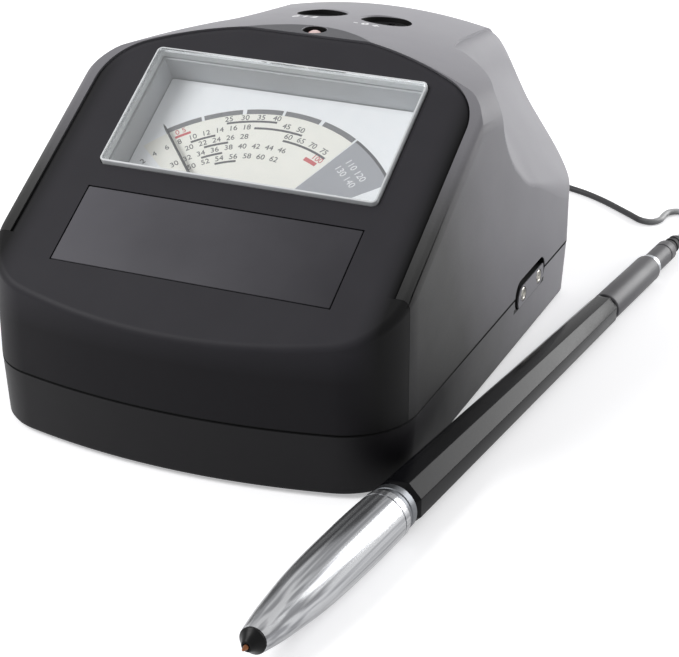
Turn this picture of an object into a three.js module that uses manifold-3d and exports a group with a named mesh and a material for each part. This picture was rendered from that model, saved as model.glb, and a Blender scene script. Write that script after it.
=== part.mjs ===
// A bench-top thermal gem tester: a wedge housing with an angled needle meter, and a heated probe pen on a cord.
// Lengths are millimetres. X runs to the right, Y to the rear and Z up; the bench is at z = 0.
import * as THREE from "three";
import { mergeVertices } from "three/addons/utils/BufferGeometryUtils.js";
import Module from "manifold-3d";

const wasm = await Module();
wasm.setup();

// Fits
const FIT_GAP = 0.3;
const OVERRUN = 5;
const ROOTED = 0.2;

// Housing outline, seen from above
const BODY_WIDTH = 116;
const BODY_LENGTH = 154;
const FRONT_BULGE_RADIUS = 182.2;
const FRONT_CORNER_RADIUS = 19.5;
const REAR_CORNER_RADIUS = 10;

// Housing heights and walls
const WALL = 2.4;
const FOOT_STANDOFF = 1;
const FLOOR_THICKNESS = 3;
const SEAM_HEIGHT = 17.9;
const BASE_CHAMFER = 1;
const LIP_THICKNESS = 1.2;
const LIP_HEIGHT = 2;

// Sloping fascia, a plane that rises from the front to the ridge
const FASCIA_FOOT_HEIGHT = 38.8;
const FASCIA_EDGE_RADIUS = 2.5;
const RIDGE_HEIGHT = 90.4;
const RIDGE_Y = 87.74;
const FASCIA_TOP_RADIUS = 94;
const FASCIA_TOP_RISE = 1.8;
const FASCIA_CORNER_RADIUS = 18;
const COVER_RIM = 1.7;
const COVER_SKIRT = 0.5;
const FRONT_COVER_DEPTH = 19.6;

// Roof behind the ridge
const ROOF_RISE = 1.1;
const ROOF_FALL = THREE.MathUtils.degToRad(8);
const ROOF_CROWN_RADIUS = 149;
const ROOF_REAR_RADIUS = 10;
const SHOULDER_RADIUS = 8;

// Scooped flanks: their edge on the side wall, as shares of the length and of the ridge height
const scoopEdgeShares = [
  [0.5, 1.1], [0.523, 0.929], [0.548, 0.794], [0.57, 0.732], [0.598, 0.674],
  [0.639, 0.614], [0.694, 0.551], [0.776, 0.498], [1, 0.365], [1.1, 0.306],
];
const scoopStartShares = [0.48, 0.3];
const SCOOP_SLOPE = 0.72;
const SCOOP_SOFTNESS = 1;

// Meter
const WINDOW_WIDTH = 78.6;
const WINDOW_LENGTH = 41;
const WINDOW_CORNER_RADIUS = 1.5;
const LENS_PROUD = 1.2;
const LENS_TOP = 1.6;
const LENS_SKIRT = 1.5;
const DIAL_DEPTH = 10.25;
const DIAL_THICKNESS = 0.6;
const PIVOT_BELOW_WINDOW = 12.3;
const NEEDLE_SIDE_CLEARANCE = 3.86;
const NEEDLE_TAIL = 8;
const NEEDLE_WIDTH = 0.9;
const NEEDLE_THICKNESS = 0.5;
const NEEDLE_LIFT = 1.5;
const NEEDLE_REST = THREE.MathUtils.degToRad(45);
const MOVEMENT_DEPTH = 9;
const CASE_WALL = 2;
const MAGNET_RADIUS = 12;
const CORE_RADIUS = 5;

// Blank name panel below the window
const PANEL_WIDTH = 77.3;
const PANEL_LENGTH = 24.1;
const PANEL_GAP = 8;
const footMarginShare = 0.582;
const PANEL_THICKNESS = 1.1;
const PANEL_GROOVE = 0.35;

// Lamp and the two recessed knobs
const LAMP_RADIUS = 2.6;
const LAMP_HOLE_RADIUS = 3.3;
const LAMP_FROM_RIDGE = 4.9;
const LAMP_LENGTH = 9;
const LAMP_SUNK = 1.6;
const KNOB_RADIUS = 6.9;
const KNOB_SPACING = 19.6;
const knobPlaceShare = 0.4865;
const KNOB_HEIGHT = 6;
const KNOB_SUNK = 1.8;
const SHAFT_RADIUS = 3;
const SHAFT_LENGTH = 6;
const POT_RADIUS = 8;
const POT_HEIGHT = 8.5;
const BOARD_THICKNESS = 1.6;

// Batteries and their sliding door
const CELL_DIAMETER = 14.5;
const CELL_LENGTH = 50.5;
const CELL_COUNT = 4;
const cellNubShare = 0.19;
const CELL_NUB_LENGTH = 1.5;
const CONTACT_THICKNESS = 0.6;
const SPRING_LENGTH = 2.6;
const BATTERY_WALL = 1.6;
const DOOR_THICKNESS = 2.4;
const DOOR_TONGUE = 2;

// Fasteners and feet
const SCREW_RADIUS = 1.45;
const SCREW_HEAD_RADIUS = 2.9;
const SCREW_HEAD_HEIGHT = 2;
const SCREW_LENGTH = 20;
const BOSS_RADIUS = 4.4;
const BOSS_INSET = 2;
const FOOT_RADIUS = 5;
const FOOT_RECESS = 0.8;

// Test station in the right side, across the seam
const TEST_LENGTH = 26;
const TEST_HEIGHT = 8.8;
const testPlaceShare = 0.724;
const TEST_DEPTH = 3.2;
const TEST_FLANGE = 2;
const TEST_DISC_RADIUS = 1.9;
const TEST_DISC_THICKNESS = 0.9;
const TEST_DISC_SPACING = 14;

// Sockets in the rear wall
const JACK_PLACE = 20;
const GLAND_ASIDE = 4.25;
const JACK_RADIUS = 4.6;
const JACK_BORE_RADIUS = 3.1;
const JACK_PIN_RADIUS = 1;
const JACK_LENGTH = 12;
const GLAND_LENGTH = 12;
const GLAND_RADIUS = 3.4;

// Probe pen, by distance from its tip
const TIP_OUT = 1.6;
const TIP_RADIUS = 0.7;
const TIP_TRAVEL = 1;
const INSULATOR_LENGTH = 3;
const NOSE_LENGTH = 61;
const NOSE_RADIUS = 6.75;
const NOSE_RING_LENGTH = 4;
const BARREL_LENGTH = 133;
const BARREL_FRONT_RADIUS = 6.4;
const BARREL_REAR_RADIUS = 4.85;
const COLLAR_LENGTH = 35;
const COLLAR_RADIUS = 4.35;
const TAIL_RING_LENGTH = 2;
const SLEEVE_LENGTH = 14.5;
const SLEEVE_RADIUS = 3.3;
const STUB_LENGTH = 8.5;
const STUB_RADIUS = 2.7;
const PEN_TURN = THREE.MathUtils.degToRad(5.14);
const PEN_CLEARANCE = 0.5;
const PEN_STANDOFF = 0.05;
const PEN_TIP_AHEAD = 93.5;

// Cord
const CORD_DIAMETER = 2;
const COIL_TURNS = 8.25;
const COIL_PITCH = 2.45;
const COIL_OUTER_RADIUS = 15.9;
const COIL_CLEARANCE = 2;

const FASCIA_ANGLE = Math.atan2(RIDGE_HEIGHT - FASCIA_FOOT_HEIGHT, RIDGE_Y);
const SIN_F = Math.sin(FASCIA_ANGLE);
const COS_F = Math.cos(FASCIA_ANGLE);
const RIDGE_SLOPE = RIDGE_Y / COS_F;
const HALF_WIDTH = BODY_WIDTH / 2;
const SEAM_TOP = SEAM_HEIGHT + FIT_GAP;
const FLOOR_TOP = FOOT_STANDOFF + FLOOR_THICKNESS;
const CORD_RADIUS = CORD_DIAMETER / 2;

// Helpers that make, place and join solids

function solid(geometry) {
  const bare = geometry.clone();
  bare.deleteAttribute("normal");
  bare.deleteAttribute("uv");
  const merged = mergeVertices(bare);
  const mesh = new wasm.Mesh({
    numProp: 3,
    vertProperties: new Float32Array(merged.attributes.position.array),
    triVerts: new Uint32Array(merged.index.array),
  });
  return new wasm.Manifold(mesh);
}

function geometryOf(body) {
  const made = body.getMesh();
  const positions = [];
  for (let i = 0; i < made.numVert; i++) {
    positions.push(...made.vertProperties.subarray(i * made.numProp, i * made.numProp + 3));
  }
  const geometry = new THREE.BufferGeometry();
  geometry.setAttribute("position", new THREE.Float32BufferAttribute(positions, 3));
  geometry.setIndex(Array.from(made.triVerts));
  return geometry;
}

function finish(color, roughness, metalness = 0) {
  return new THREE.MeshStandardMaterial({ color, roughness, metalness });
}

function piece(parent, name, shape, material) {
  const geometry = shape.isBufferGeometry ? shape : geometryOf(shape);
  const mesh = new THREE.Mesh(geometry, material);
  mesh.name = name;
  parent.add(mesh);
  return mesh;
}

function box(x0, x1, y0, y1, z0, z1) {
  const geometry = new THREE.BoxGeometry(x1 - x0, y1 - y0, z1 - z0);
  return geometry.translate((x0 + x1) / 2, (y0 + y1) / 2, (z0 + z1) / 2);
}

// An upright cylinder or cone between two heights.
function rod(x, y, z0, z1, radius, sides = 20, topRadius = radius) {
  const geometry = new THREE.CylinderGeometry(topRadius, radius, z1 - z0, sides);
  return geometry.rotateX(Math.PI / 2).translate(x, y, (z0 + z1) / 2);
}

// A turned shape about the Z axis: [radius, height] pairs from the lowest up the outer side.
function turned(profile, sides = 24) {
  const points = profile.map(([radius, height]) => new THREE.Vector2(radius, height));
  return new THREE.LatheGeometry(points, sides).rotateX(Math.PI / 2);
}

// The same along the Y axis, for the pieces of the pen and the sockets.
function turnedAlongY(profile, sides = 24) {
  const points = profile.map(([radius, place]) => new THREE.Vector2(radius, place));
  return new THREE.LatheGeometry(points, sides);
}

function extruded(shape, z0, z1, curveSegments = 6) {
  const options = { depth: z1 - z0, bevelEnabled: false, curveSegments };
  return new THREE.ExtrudeGeometry(shape, options).translate(0, 0, z0);
}

function roundedRectangle(x0, x1, y0, y1, radius) {
  const shape = new THREE.Shape();
  shape.moveTo(x0 + radius, y0);
  shape.lineTo(x1 - radius, y0);
  shape.absarc(x1 - radius, y0 + radius, radius, -Math.PI / 2, 0);
  shape.lineTo(x1, y1 - radius);
  shape.absarc(x1 - radius, y1 - radius, radius, 0, Math.PI / 2);
  shape.lineTo(x0 + radius, y1);
  shape.absarc(x0 + radius, y1 - radius, radius, Math.PI / 2, Math.PI);
  shape.lineTo(x0, y0 + radius);
  shape.absarc(x0 + radius, y0 + radius, radius, Math.PI, Math.PI * 1.5);
  return shape;
}

// The cutting solid of a geometry that is drawn in a group's own frame.
function placedIn(group, geometry) {
  group.updateMatrix();
  return solid(geometry.clone().applyMatrix4(group.matrix));
}

function meshed(positions, faces) {
  const geometry = new THREE.BufferGeometry();
  geometry.setAttribute("position", new THREE.Float32BufferAttribute(positions, 3));
  geometry.setIndex(faces);
  return geometry;
}

// Joins rings of points, counter-clockwise from above, into one solid with a cap at each end.
function loft(rings) {
  const count = rings[0].length;
  const positions = rings.flat().flatMap((point) => [point.x, point.y, point.z]);
  const faces = [];
  for (let ring = 0; ring < rings.length - 1; ring++) {
    for (let i = 0; i < count; i++) {
      const here = ring * count + i;
      const next = ring * count + ((i + 1) % count);
      faces.push(here, next, next + count, here, next + count, here + count);
    }
  }
  const plan = rings[0].map((point) => new THREE.Vector2(point.x, point.y));
  const top = (rings.length - 1) * count;
  for (const [a, b, c] of THREE.ShapeUtils.triangulateShape(plan, [])) {
    faces.push(a, c, b, a + top, b + top, c + top);
  }
  return meshed(positions, faces);
}

// The solid between two surfaces over a grid of u and v, where u, v and lower-to-upper are right-handed.
function gridSolid(us, vs, lower, upper) {
  const positions = [];
  for (const surface of [lower, upper]) {
    for (const u of us) {
      for (const v of vs) positions.push(...surface(u, v).toArray());
    }
  }
  const columns = vs.length;
  const layer = us.length * columns;
  const faces = [];
  for (let i = 0; i < us.length - 1; i++) {
    for (let j = 0; j < columns - 1; j++) {
      const a = i * columns + j;
      const b = a + columns;
      faces.push(a, b + 1, b, a, a + 1, b + 1);
      faces.push(a + layer, b + layer, b + 1 + layer, a + layer, b + 1 + layer, a + 1 + layer);
    }
  }
  for (let i = 0; i < us.length - 1; i++) {
    const a = i * columns;
    const b = a + columns;
    faces.push(a, b, b + layer, a, b + layer, a + layer);
    const c = a + columns - 1;
    const d = b + columns - 1;
    faces.push(c, d + layer, d, c, c + layer, d + layer);
  }
  for (let j = 0; j < columns - 1; j++) {
    faces.push(j, j + 1 + layer, j + 1, j, j + layer, j + 1 + layer);
    const e = (us.length - 1) * columns + j;
    faces.push(e, e + 1, e + 1 + layer, e, e + 1 + layer, e + layer);
  }
  return meshed(positions, faces);
}

// Housing

// Points of the outline with their outward normals, counter-clockwise from above.
const cornerX = HALF_WIDTH - FRONT_CORNER_RADIUS;
const cornerReach = FRONT_BULGE_RADIUS - FRONT_CORNER_RADIUS;
const cornerY = FRONT_BULGE_RADIUS - Math.sqrt(cornerReach ** 2 - cornerX ** 2);

function outline() {
  const points = [];
  const arc = (cx, cy, radius, from, to, steps) => {
    for (let i = 0; i <= steps; i++) {
      const angle = from + ((to - from) * i) / steps;
      const normal = new THREE.Vector2(Math.cos(angle), Math.sin(angle));
      points.push({ x: cx + radius * normal.x, y: cy + radius * normal.y, normal });
    }
  };
  const spread = Math.asin(cornerX / cornerReach);
  arc(0, FRONT_BULGE_RADIUS, FRONT_BULGE_RADIUS, -Math.PI / 2 - spread, -Math.PI / 2 + spread, 8);
  points.pop();
  arc(cornerX, cornerY, FRONT_CORNER_RADIUS, -Math.PI / 2 + spread, 0, 6);
  const rearX = HALF_WIDTH - REAR_CORNER_RADIUS;
  const rearY = BODY_LENGTH - REAR_CORNER_RADIUS;
  arc(rearX, rearY, REAR_CORNER_RADIUS, 0, Math.PI / 2, 4);
  arc(-rearX, rearY, REAR_CORNER_RADIUS, Math.PI / 2, Math.PI, 4);
  arc(-cornerX, cornerY, FRONT_CORNER_RADIUS, Math.PI, Math.PI * 1.5 - spread, 6);
  points.pop();
  return points;
}

const OUTLINE = outline();

function outlineRing(inset, height) {
  return OUTLINE.map(({ x, y, normal }) => {
    const point = new THREE.Vector3(x - inset * normal.x, y - inset * normal.y, 0);
    point.z = typeof height === "function" ? height(point) : height;
    return point;
  });
}

function prismOfOutline(inset, z0, z1) {
  return solid(loft([outlineRing(inset, z0), outlineRing(inset, z1)]));
}

function fasciaHeight(y) {
  return FASCIA_FOOT_HEIGHT + Math.tan(FASCIA_ANGLE) * y;
}

function roofHeight(x, y, inset) {
  const crown = x ** 2 / (2 * ROOF_CROWN_RADIUS);
  const fallen = Math.tan(ROOF_FALL) * (y - RIDGE_Y);
  const rounding = (past, radius) => {
    const into = THREE.MathUtils.clamp(past, 0, radius);
    return radius - Math.sqrt(radius ** 2 - into ** 2);
  };
  const rearRadius = ROOF_REAR_RADIUS - inset;
  const sideRadius = SHOULDER_RADIUS - inset;
  const rear = rounding(y - (BODY_LENGTH - ROOF_REAR_RADIUS), rearRadius);
  const side = rounding(Math.abs(x) - (HALF_WIDTH - SHOULDER_RADIUS), sideRadius);
  return RIDGE_HEIGHT + ROOF_RISE - fallen - crown - rear - side - inset / Math.cos(ROOF_FALL);
}

// Everything under the fascia plane, with the rounded edge that a ball rolled along it leaves.
function fasciaBody(inset, z0) {
  const radius = Math.max(FASCIA_EDGE_RADIUS - inset, FIT_GAP);
  const plane = (y) => fasciaHeight(y) - inset / COS_F;
  const steps = 3;
  const rings = [outlineRing(inset, z0)];
  const upward = new THREE.Vector3(0, -SIN_F, COS_F);
  for (let step = 0; step <= steps; step++) {
    const ring = OUTLINE.map(({ x, y, normal }) => {
      const centre = new THREE.Vector3(x, y, 0);
      const outward = new THREE.Vector3(normal.x, normal.y, 0);
      centre.addScaledVector(outward, -inset - radius);
      centre.z = plane(centre.y) - radius / COS_F;
      const between = outward.lerp(upward, step / steps).normalize();
      return centre.addScaledVector(between, radius);
    });
    rings.push(ring);
  }
  return solid(loft(rings));
}

function roofBody(inset) {
  const bends = [0, 0.35, 0.64, 0.86, 1];
  const spanX = HALF_WIDTH - SHOULDER_RADIUS;
  const halfX = [0, 0.2, 0.4, 0.6, 0.8].map((share) => share * spanX);
  halfX.push(...bends.map((share) => spanX + share * (SHOULDER_RADIUS - inset)));
  halfX.push(HALF_WIDTH + OVERRUN);
  const xs = [...halfX.slice(1).reverse().map((x) => -x), ...halfX];
  const startY = BODY_LENGTH - ROOF_REAR_RADIUS;
  const ys = [-OVERRUN, RIDGE_Y / 2, RIDGE_Y, (RIDGE_Y + startY) / 2];
  ys.push(...bends.map((share) => startY + share * (ROOF_REAR_RADIUS - inset)));
  ys.push(BODY_LENGTH + OVERRUN);
  const bottom = (x, y) => new THREE.Vector3(x, y, -OVERRUN * 2);
  const top = (x, y) => new THREE.Vector3(x, y, roofHeight(x, y, inset));
  return solid(gridSolid(xs, ys, bottom, top));
}

// The signed distance of a point of the side wall from the scoop's edge, positive inside the scoop.
function scoopReach(y, z) {
  const edge = scoopEdgeShares.map(([along, up]) => [along * BODY_LENGTH, up * RIDGE_HEIGHT]);
  let nearest = Infinity;
  let side = 1;
  for (let i = 0; i < edge.length - 1; i++) {
    const [ay, az] = edge[i];
    const [by, bz] = edge[i + 1];
    const span = (by - ay) ** 2 + (bz - az) ** 2;
    const along = ((y - ay) * (by - ay) + (z - az) * (bz - az)) / span;
    const t = THREE.MathUtils.clamp(along, 0, 1);
    const distance = Math.hypot(y - ay - t * (by - ay), z - az - t * (bz - az));
    if (distance < nearest) {
      nearest = distance;
      side = Math.sign((by - ay) * (z - az) - (bz - az) * (y - ay));
    }
  }
  return side * nearest;
}

function scoopHalfWidth(y, z) {
  const reach = scoopReach(y, z);
  if (reach < 0) return HALF_WIDTH - (reach * SCOOP_SLOPE) / 2;
  const depth = SCOOP_SLOPE * (Math.hypot(reach, SCOOP_SOFTNESS) - SCOOP_SOFTNESS);
  const edgeHeight = roofHeight(HALF_WIDTH * 0.6, y, 0);
  const into = THREE.MathUtils.clamp((z - edgeHeight + SHOULDER_RADIUS) / SHOULDER_RADIUS, 0, 1);
  const turnedIn = (SHOULDER_RADIUS * (1 - Math.sqrt(1 - into ** 2))) / 2;
  return HALF_WIDTH - depth - turnedIn;
}

function spaced(from, to, count) {
  return Array.from({ length: count }, (_, i) => from + ((to - from) * i) / (count - 1));
}

function scoopCutter(side, inset) {
  const count = inset > 0 ? 9 : 15;
  const ys = spaced(BODY_LENGTH * scoopStartShares[0], BODY_LENGTH + OVERRUN, count);
  const zs = spaced(RIDGE_HEIGHT * scoopStartShares[1], RIDGE_HEIGHT + OVERRUN, count);
  const wall = inset * Math.hypot(1, SCOOP_SLOPE);
  const inner = (y, z) => new THREE.Vector3(side * (scoopHalfWidth(y, z) - wall), y, z);
  const outer = (y, z) => new THREE.Vector3(side * (HALF_WIDTH + 4 * OVERRUN), y, z);
  if (side > 0) return solid(gridSolid(ys, zs, inner, outer));
  return solid(gridSolid(zs, ys, (z, y) => inner(y, z), (z, y) => outer(y, z)));
}

// The housing's outer form, or the form a wall's thickness inside it, from a level upwards.
function bodyForm(inset, z0) {
  const reach = BODY_WIDTH + BODY_LENGTH;
  const facet = solid(box(-reach, reach, -reach, reach, -reach, RIDGE_HEIGHT - inset));
  let form = fasciaBody(inset, z0).intersect(roofBody(inset)).intersect(facet);
  for (const side of [-1, 1]) form = form.subtract(scoopCutter(side, inset));
  return form;
}

// The part of the housing that the front cover takes, with its edges drawn in by a clearance.
function frontRegion(clear) {
  const side = HALF_WIDTH - COVER_RIM - clear;
  const topRadius = FASCIA_TOP_RADIUS - clear;
  const corner = FASCIA_CORNER_RADIUS - clear;
  const centreS = RIDGE_SLOPE + FASCIA_TOP_RISE - FASCIA_TOP_RADIUS;
  const cornerX = side - corner;
  const cornerS = centreS + Math.sqrt((topRadius - corner) ** 2 - cornerX ** 2);
  const turn = Math.atan2(cornerS - centreS, cornerX);
  const points = [new THREE.Vector2(side, -OVERRUN)];
  const arc = (cx, cs, radius, from, to, steps) => {
    for (let i = 0; i <= steps; i++) {
      const angle = from + ((to - from) * i) / steps;
      points.push(new THREE.Vector2(cx + radius * Math.cos(angle), cs + radius * Math.sin(angle)));
    }
  };
  arc(cornerX, cornerS, corner, 0, turn, 5);
  arc(0, centreS, topRadius, turn, Math.PI - turn, 12);
  arc(-cornerX, cornerS, corner, Math.PI - turn, Math.PI, 5);
  points.push(new THREE.Vector2(-side, -OVERRUN));
  const limit = RIDGE_SLOPE - clear;
  const plan = points.map((p) => new THREE.Vector2(p.x, Math.min(p.y, limit) * COS_F));
  const high = RIDGE_HEIGHT * 2;
  const plate = solid(extruded(new THREE.Shape(plan), -high, high));
  const reach = BODY_WIDTH + BODY_LENGTH;
  const skirt = -WALL - COVER_SKIRT - FIT_GAP + clear;
  const above = placedIn(meter, box(-reach, reach, -reach, reach, skirt, reach));
  const frontEnd = box(-reach, reach, -reach, FRONT_COVER_DEPTH - clear, -reach, reach);
  return plate.intersect(above).add(solid(frontEnd));
}

// Places of the case screws, from the outline
const SCREW_X = HALF_WIDTH - FRONT_CORNER_RADIUS + FIT_GAP;
const frontBossReach = FRONT_CORNER_RADIUS - WALL - LIP_THICKNESS - BOSS_RADIUS - BOSS_INSET;
const FRONT_SCREW_Y = cornerY - frontBossReach;
const REAR_SCREW_Y = BODY_LENGTH - REAR_CORNER_RADIUS - BOSS_RADIUS;
const REAR_SCREW_X = HALF_WIDTH - WALL - LIP_THICKNESS - BOSS_RADIUS - 2 * FIT_GAP;
const screwPlaces = [
  [-SCREW_X, FRONT_SCREW_Y], [SCREW_X, FRONT_SCREW_Y],
  [-REAR_SCREW_X, REAR_SCREW_Y], [REAR_SCREW_X, REAR_SCREW_Y],
];
const SCREW_SEAT = SEAM_HEIGHT - SCREW_LENGTH / 2;

// Meter frame: X across, Y up the slope of the fascia, Z out of it
const meter = new THREE.Group();
meter.position.z = FASCIA_FOOT_HEIGHT;
meter.rotation.x = FASCIA_ANGLE;
const slopeLeft = RIDGE_SLOPE - PANEL_LENGTH - PANEL_GAP - WINDOW_LENGTH;
const panelFoot = slopeLeft * footMarginShare;
const panelTop = panelFoot + PANEL_LENGTH;
const windowFoot = panelTop + PANEL_GAP;
const windowTop = windowFoot + WINDOW_LENGTH;
const pivotS = windowFoot - PIVOT_BELOW_WINDOW;

// Controls frame: on the crown of the roof, Z square to its fall
const knobY = RIDGE_Y + (BODY_LENGTH - RIDGE_Y) * knobPlaceShare;
const controls = new THREE.Group();
controls.position.set(0, knobY, roofHeight(0, knobY, 0));
controls.rotation.x = -ROOF_FALL;
const WELL_RADIUS = KNOB_RADIUS + FIT_GAP;
const WELL_DEPTH = KNOB_SUNK + KNOB_HEIGHT + FIT_GAP;
const knobPlaces = [-KNOB_SPACING / 2, KNOB_SPACING / 2];

const lampY = RIDGE_Y + LAMP_FROM_RIDGE;
const testY = BODY_LENGTH * testPlaceShare;

// A slot with round ends in the side wall, from one x to another.
function sideSlot(x0, x1, grow) {
  const length = TEST_LENGTH + 2 * grow;
  const height = TEST_HEIGHT + 2 * grow;
  const radius = height / 2;
  const shape = roundedRectangle(-length / 2, length / 2, -radius, radius, radius * 0.999);
  const geometry = extruded(shape, x0, x1, 5);
  geometry.rotateX(Math.PI / 2).rotateZ(Math.PI / 2);
  return geometry.translate(0, testY, SEAM_HEIGHT);
}

const REAR_WALL_IN = BODY_LENGTH - WALL;

// Battery bay, from the rear wall forwards
const bayWidth = CELL_COUNT * CELL_DIAMETER + (CELL_COUNT + 1) * FIT_GAP;
const bayLength = CELL_LENGTH + SPRING_LENGTH + 2 * CONTACT_THICKNESS + 4 * FIT_GAP;
const boxRear = REAR_WALL_IN - LIP_THICKNESS - 2 * FIT_GAP;
const bayRear = boxRear - BATTERY_WALL;
const bayFront = bayRear - bayLength;
const boxFront = bayFront - BATTERY_WALL;
const doorHalf = bayWidth / 2;
const tongueHalf = doorHalf + DOOR_TONGUE;
const boxFoot = FOOT_STANDOFF + DOOR_THICKNESS + FIT_GAP;
const cellAxis = boxFoot + FIT_GAP + CELL_DIAMETER / 2;
const boxTop = cellAxis + CELL_DIAMETER / 2 + FIT_GAP + BATTERY_WALL;
const boxHalf = bayWidth / 2 + BATTERY_WALL;
const TONGUE_FOOT = FOOT_STANDOFF + DOOR_THICKNESS / 2;

// Sockets in the rear wall: over the battery bay and the base's lip, the gland clear of the door
const socketFlange = JACK_RADIUS + WALL;
const socketZ = Math.max(boxTop, SEAM_HEIGHT + LIP_HEIGHT) + 2 * FIT_GAP + socketFlange;
const glandX = -(tongueHalf + GLAND_ASIDE);
const glandNeck = GLAND_RADIUS - FIT_GAP;

// Meter case, in the meter frame
const lensFoot = -WALL;
const caseTop = lensFoot - FIT_GAP;
const dialFoot = -DIAL_DEPTH - DIAL_THICKNESS;
const ledge = dialFoot - FIT_GAP;
const cellarFloor = ledge - MOVEMENT_DEPTH;
const caseFoot = cellarFloor - CASE_WALL;
const caseInner = WINDOW_WIDTH / 2 - LENS_SKIRT;
const caseOuter = caseInner + LENS_SKIRT + CASE_WALL;
const needleLength = (caseInner - NEEDLE_SIDE_CLEARANCE) / Math.sin(NEEDLE_REST);
const innerTop = windowTop - LENS_SKIRT;
const innerFoot = pivotS - MAGNET_RADIUS - FIT_GAP;
const caseFront = innerFoot - CASE_WALL;
const caseRear = innerTop + LENS_SKIRT + CASE_WALL;
function alongY(geometry, x, z) {
  return geometry.translate(x, 0, z);
}

function rearHole(x, radius, y1 = BODY_LENGTH + OVERRUN) {
  const y0 = REAR_WALL_IN - OVERRUN;
  return alongY(turnedAlongY([[0, y0], [radius, y0], [radius, y1], [0, y1]]), x, socketZ);
}

function coverBoss(x, y, form) {
  const column = solid(rod(x, y, SEAM_TOP, RIDGE_HEIGHT, BOSS_RADIUS, 12));
  const hole = rod(x, y, -OVERRUN, SEAM_TOP + SCREW_LENGTH / 2 + FIT_GAP, SCREW_RADIUS + FIT_GAP, 8);
  return column.intersect(form).subtract(solid(hole));
}

const BLACK = finish(0x2c2c30, 0.5);
const CHARCOAL = finish(0x6f6f73, 0.5);

function addCovers(parent) {
  const form = bodyForm(0, SEAM_TOP);
  const cavity = bodyForm(WALL, -OVERRUN);
  const shell = form.subtract(cavity);
  let front = shell.intersect(frontRegion(FIT_GAP));
  let rear = shell.subtract(frontRegion(0));
  for (const [x, y] of screwPlaces) {
    if (y < FRONT_COVER_DEPTH) front = front.add(coverBoss(x, y, form.intersect(frontRegion(FIT_GAP))));
    else rear = rear.add(coverBoss(x, y, form));
  }
  const halfWindow = WINDOW_WIDTH / 2 + FIT_GAP;
  const windowShape = roundedRectangle(-halfWindow, halfWindow, windowFoot - FIT_GAP,
    windowTop + FIT_GAP, WINDOW_CORNER_RADIUS + FIT_GAP);
  front = front.subtract(placedIn(meter, extruded(windowShape, -OVERRUN, OVERRUN, 3)));
  const halfPanel = PANEL_WIDTH / 2 + PANEL_GROOVE;
  const pocket = box(-halfPanel, halfPanel, panelFoot - PANEL_GROOVE, panelTop + PANEL_GROOVE,
    -PANEL_THICKNESS - FIT_GAP, OVERRUN);
  front = front.subtract(placedIn(meter, pocket));

  for (const x of knobPlaces) {
    const cupRadius = WELL_RADIUS + BATTERY_WALL;
    const cup = placedIn(controls, rod(x, 0, -WELL_DEPTH - BATTERY_WALL, -WALL / 2, cupRadius, 28));
    rear = rear.add(cup);
  }
  for (const x of knobPlaces) {
    const well = placedIn(controls, rod(x, 0, -WELL_DEPTH, OVERRUN, WELL_RADIUS, 28));
    const bore = rod(x, 0, -WELL_DEPTH - OVERRUN, -WELL_DEPTH / 2, SHAFT_RADIUS + FIT_GAP, 16);
    rear = rear.subtract(well).subtract(placedIn(controls, bore));
  }
  rear = rear.subtract(solid(rod(0, lampY, RIDGE_HEIGHT - OVERRUN, RIDGE_HEIGHT + OVERRUN, LAMP_HOLE_RADIUS, 24)));
  rear = rear.subtract(solid(sideSlot(HALF_WIDTH - OVERRUN, HALF_WIDTH + OVERRUN, 0)));
  rear = rear.subtract(solid(rearHole(glandX, GLAND_RADIUS)));
  rear = rear.subtract(solid(rearHole(JACK_PLACE, JACK_RADIUS + FIT_GAP)));
  rear = rear.subtract(solid(rearHole(glandX, glandNeck + WALL + FIT_GAP, REAR_WALL_IN - FIT_GAP / 2)));
  rear = rear.subtract(solid(rearHole(JACK_PLACE, socketFlange + FIT_GAP, REAR_WALL_IN - FIT_GAP / 2)));
  const reliefHalf = caseOuter + FIT_GAP;
  const relief = placedIn(meter, box(-reliefHalf, reliefHalf, caseFront - FIT_GAP, caseRear + FIT_GAP,
    caseFoot - FIT_GAP, caseTop + FIT_GAP / 2));
  front = front.subtract(relief);
  rear = rear.subtract(relief);
  piece(parent, "front_cover", front, BLACK);
  piece(parent, "rear_cover", rear, CHARCOAL);
}

// Main board and the posts that carry it
const boardPlaces = [];
const BOARD_HALF = HALF_WIDTH * 0.7;
const BOARD_FRONT = FRONT_COVER_DEPTH + OVERRUN;
const BOARD_REAR = boxFront - 2 * OVERRUN;
const BOARD_FOOT = FLOOR_TOP + OVERRUN;
for (const x of [-BOARD_HALF + OVERRUN, BOARD_HALF - OVERRUN]) {
  for (const y of [BOARD_FRONT + OVERRUN, BOARD_REAR - OVERRUN]) boardPlaces.push([x, y]);
}
const POST_RADIUS = 2.6;
const BOARD_SCREW_RADIUS = 1;
const footPlaces = [
  [-SCREW_X, FRONT_SCREW_Y + 3 * FOOT_RADIUS], [SCREW_X, FRONT_SCREW_Y + 3 * FOOT_RADIUS],
  [-REAR_SCREW_X, REAR_SCREW_Y - 3 * FOOT_RADIUS], [REAR_SCREW_X, REAR_SCREW_Y - 3 * FOOT_RADIUS],
];

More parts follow.
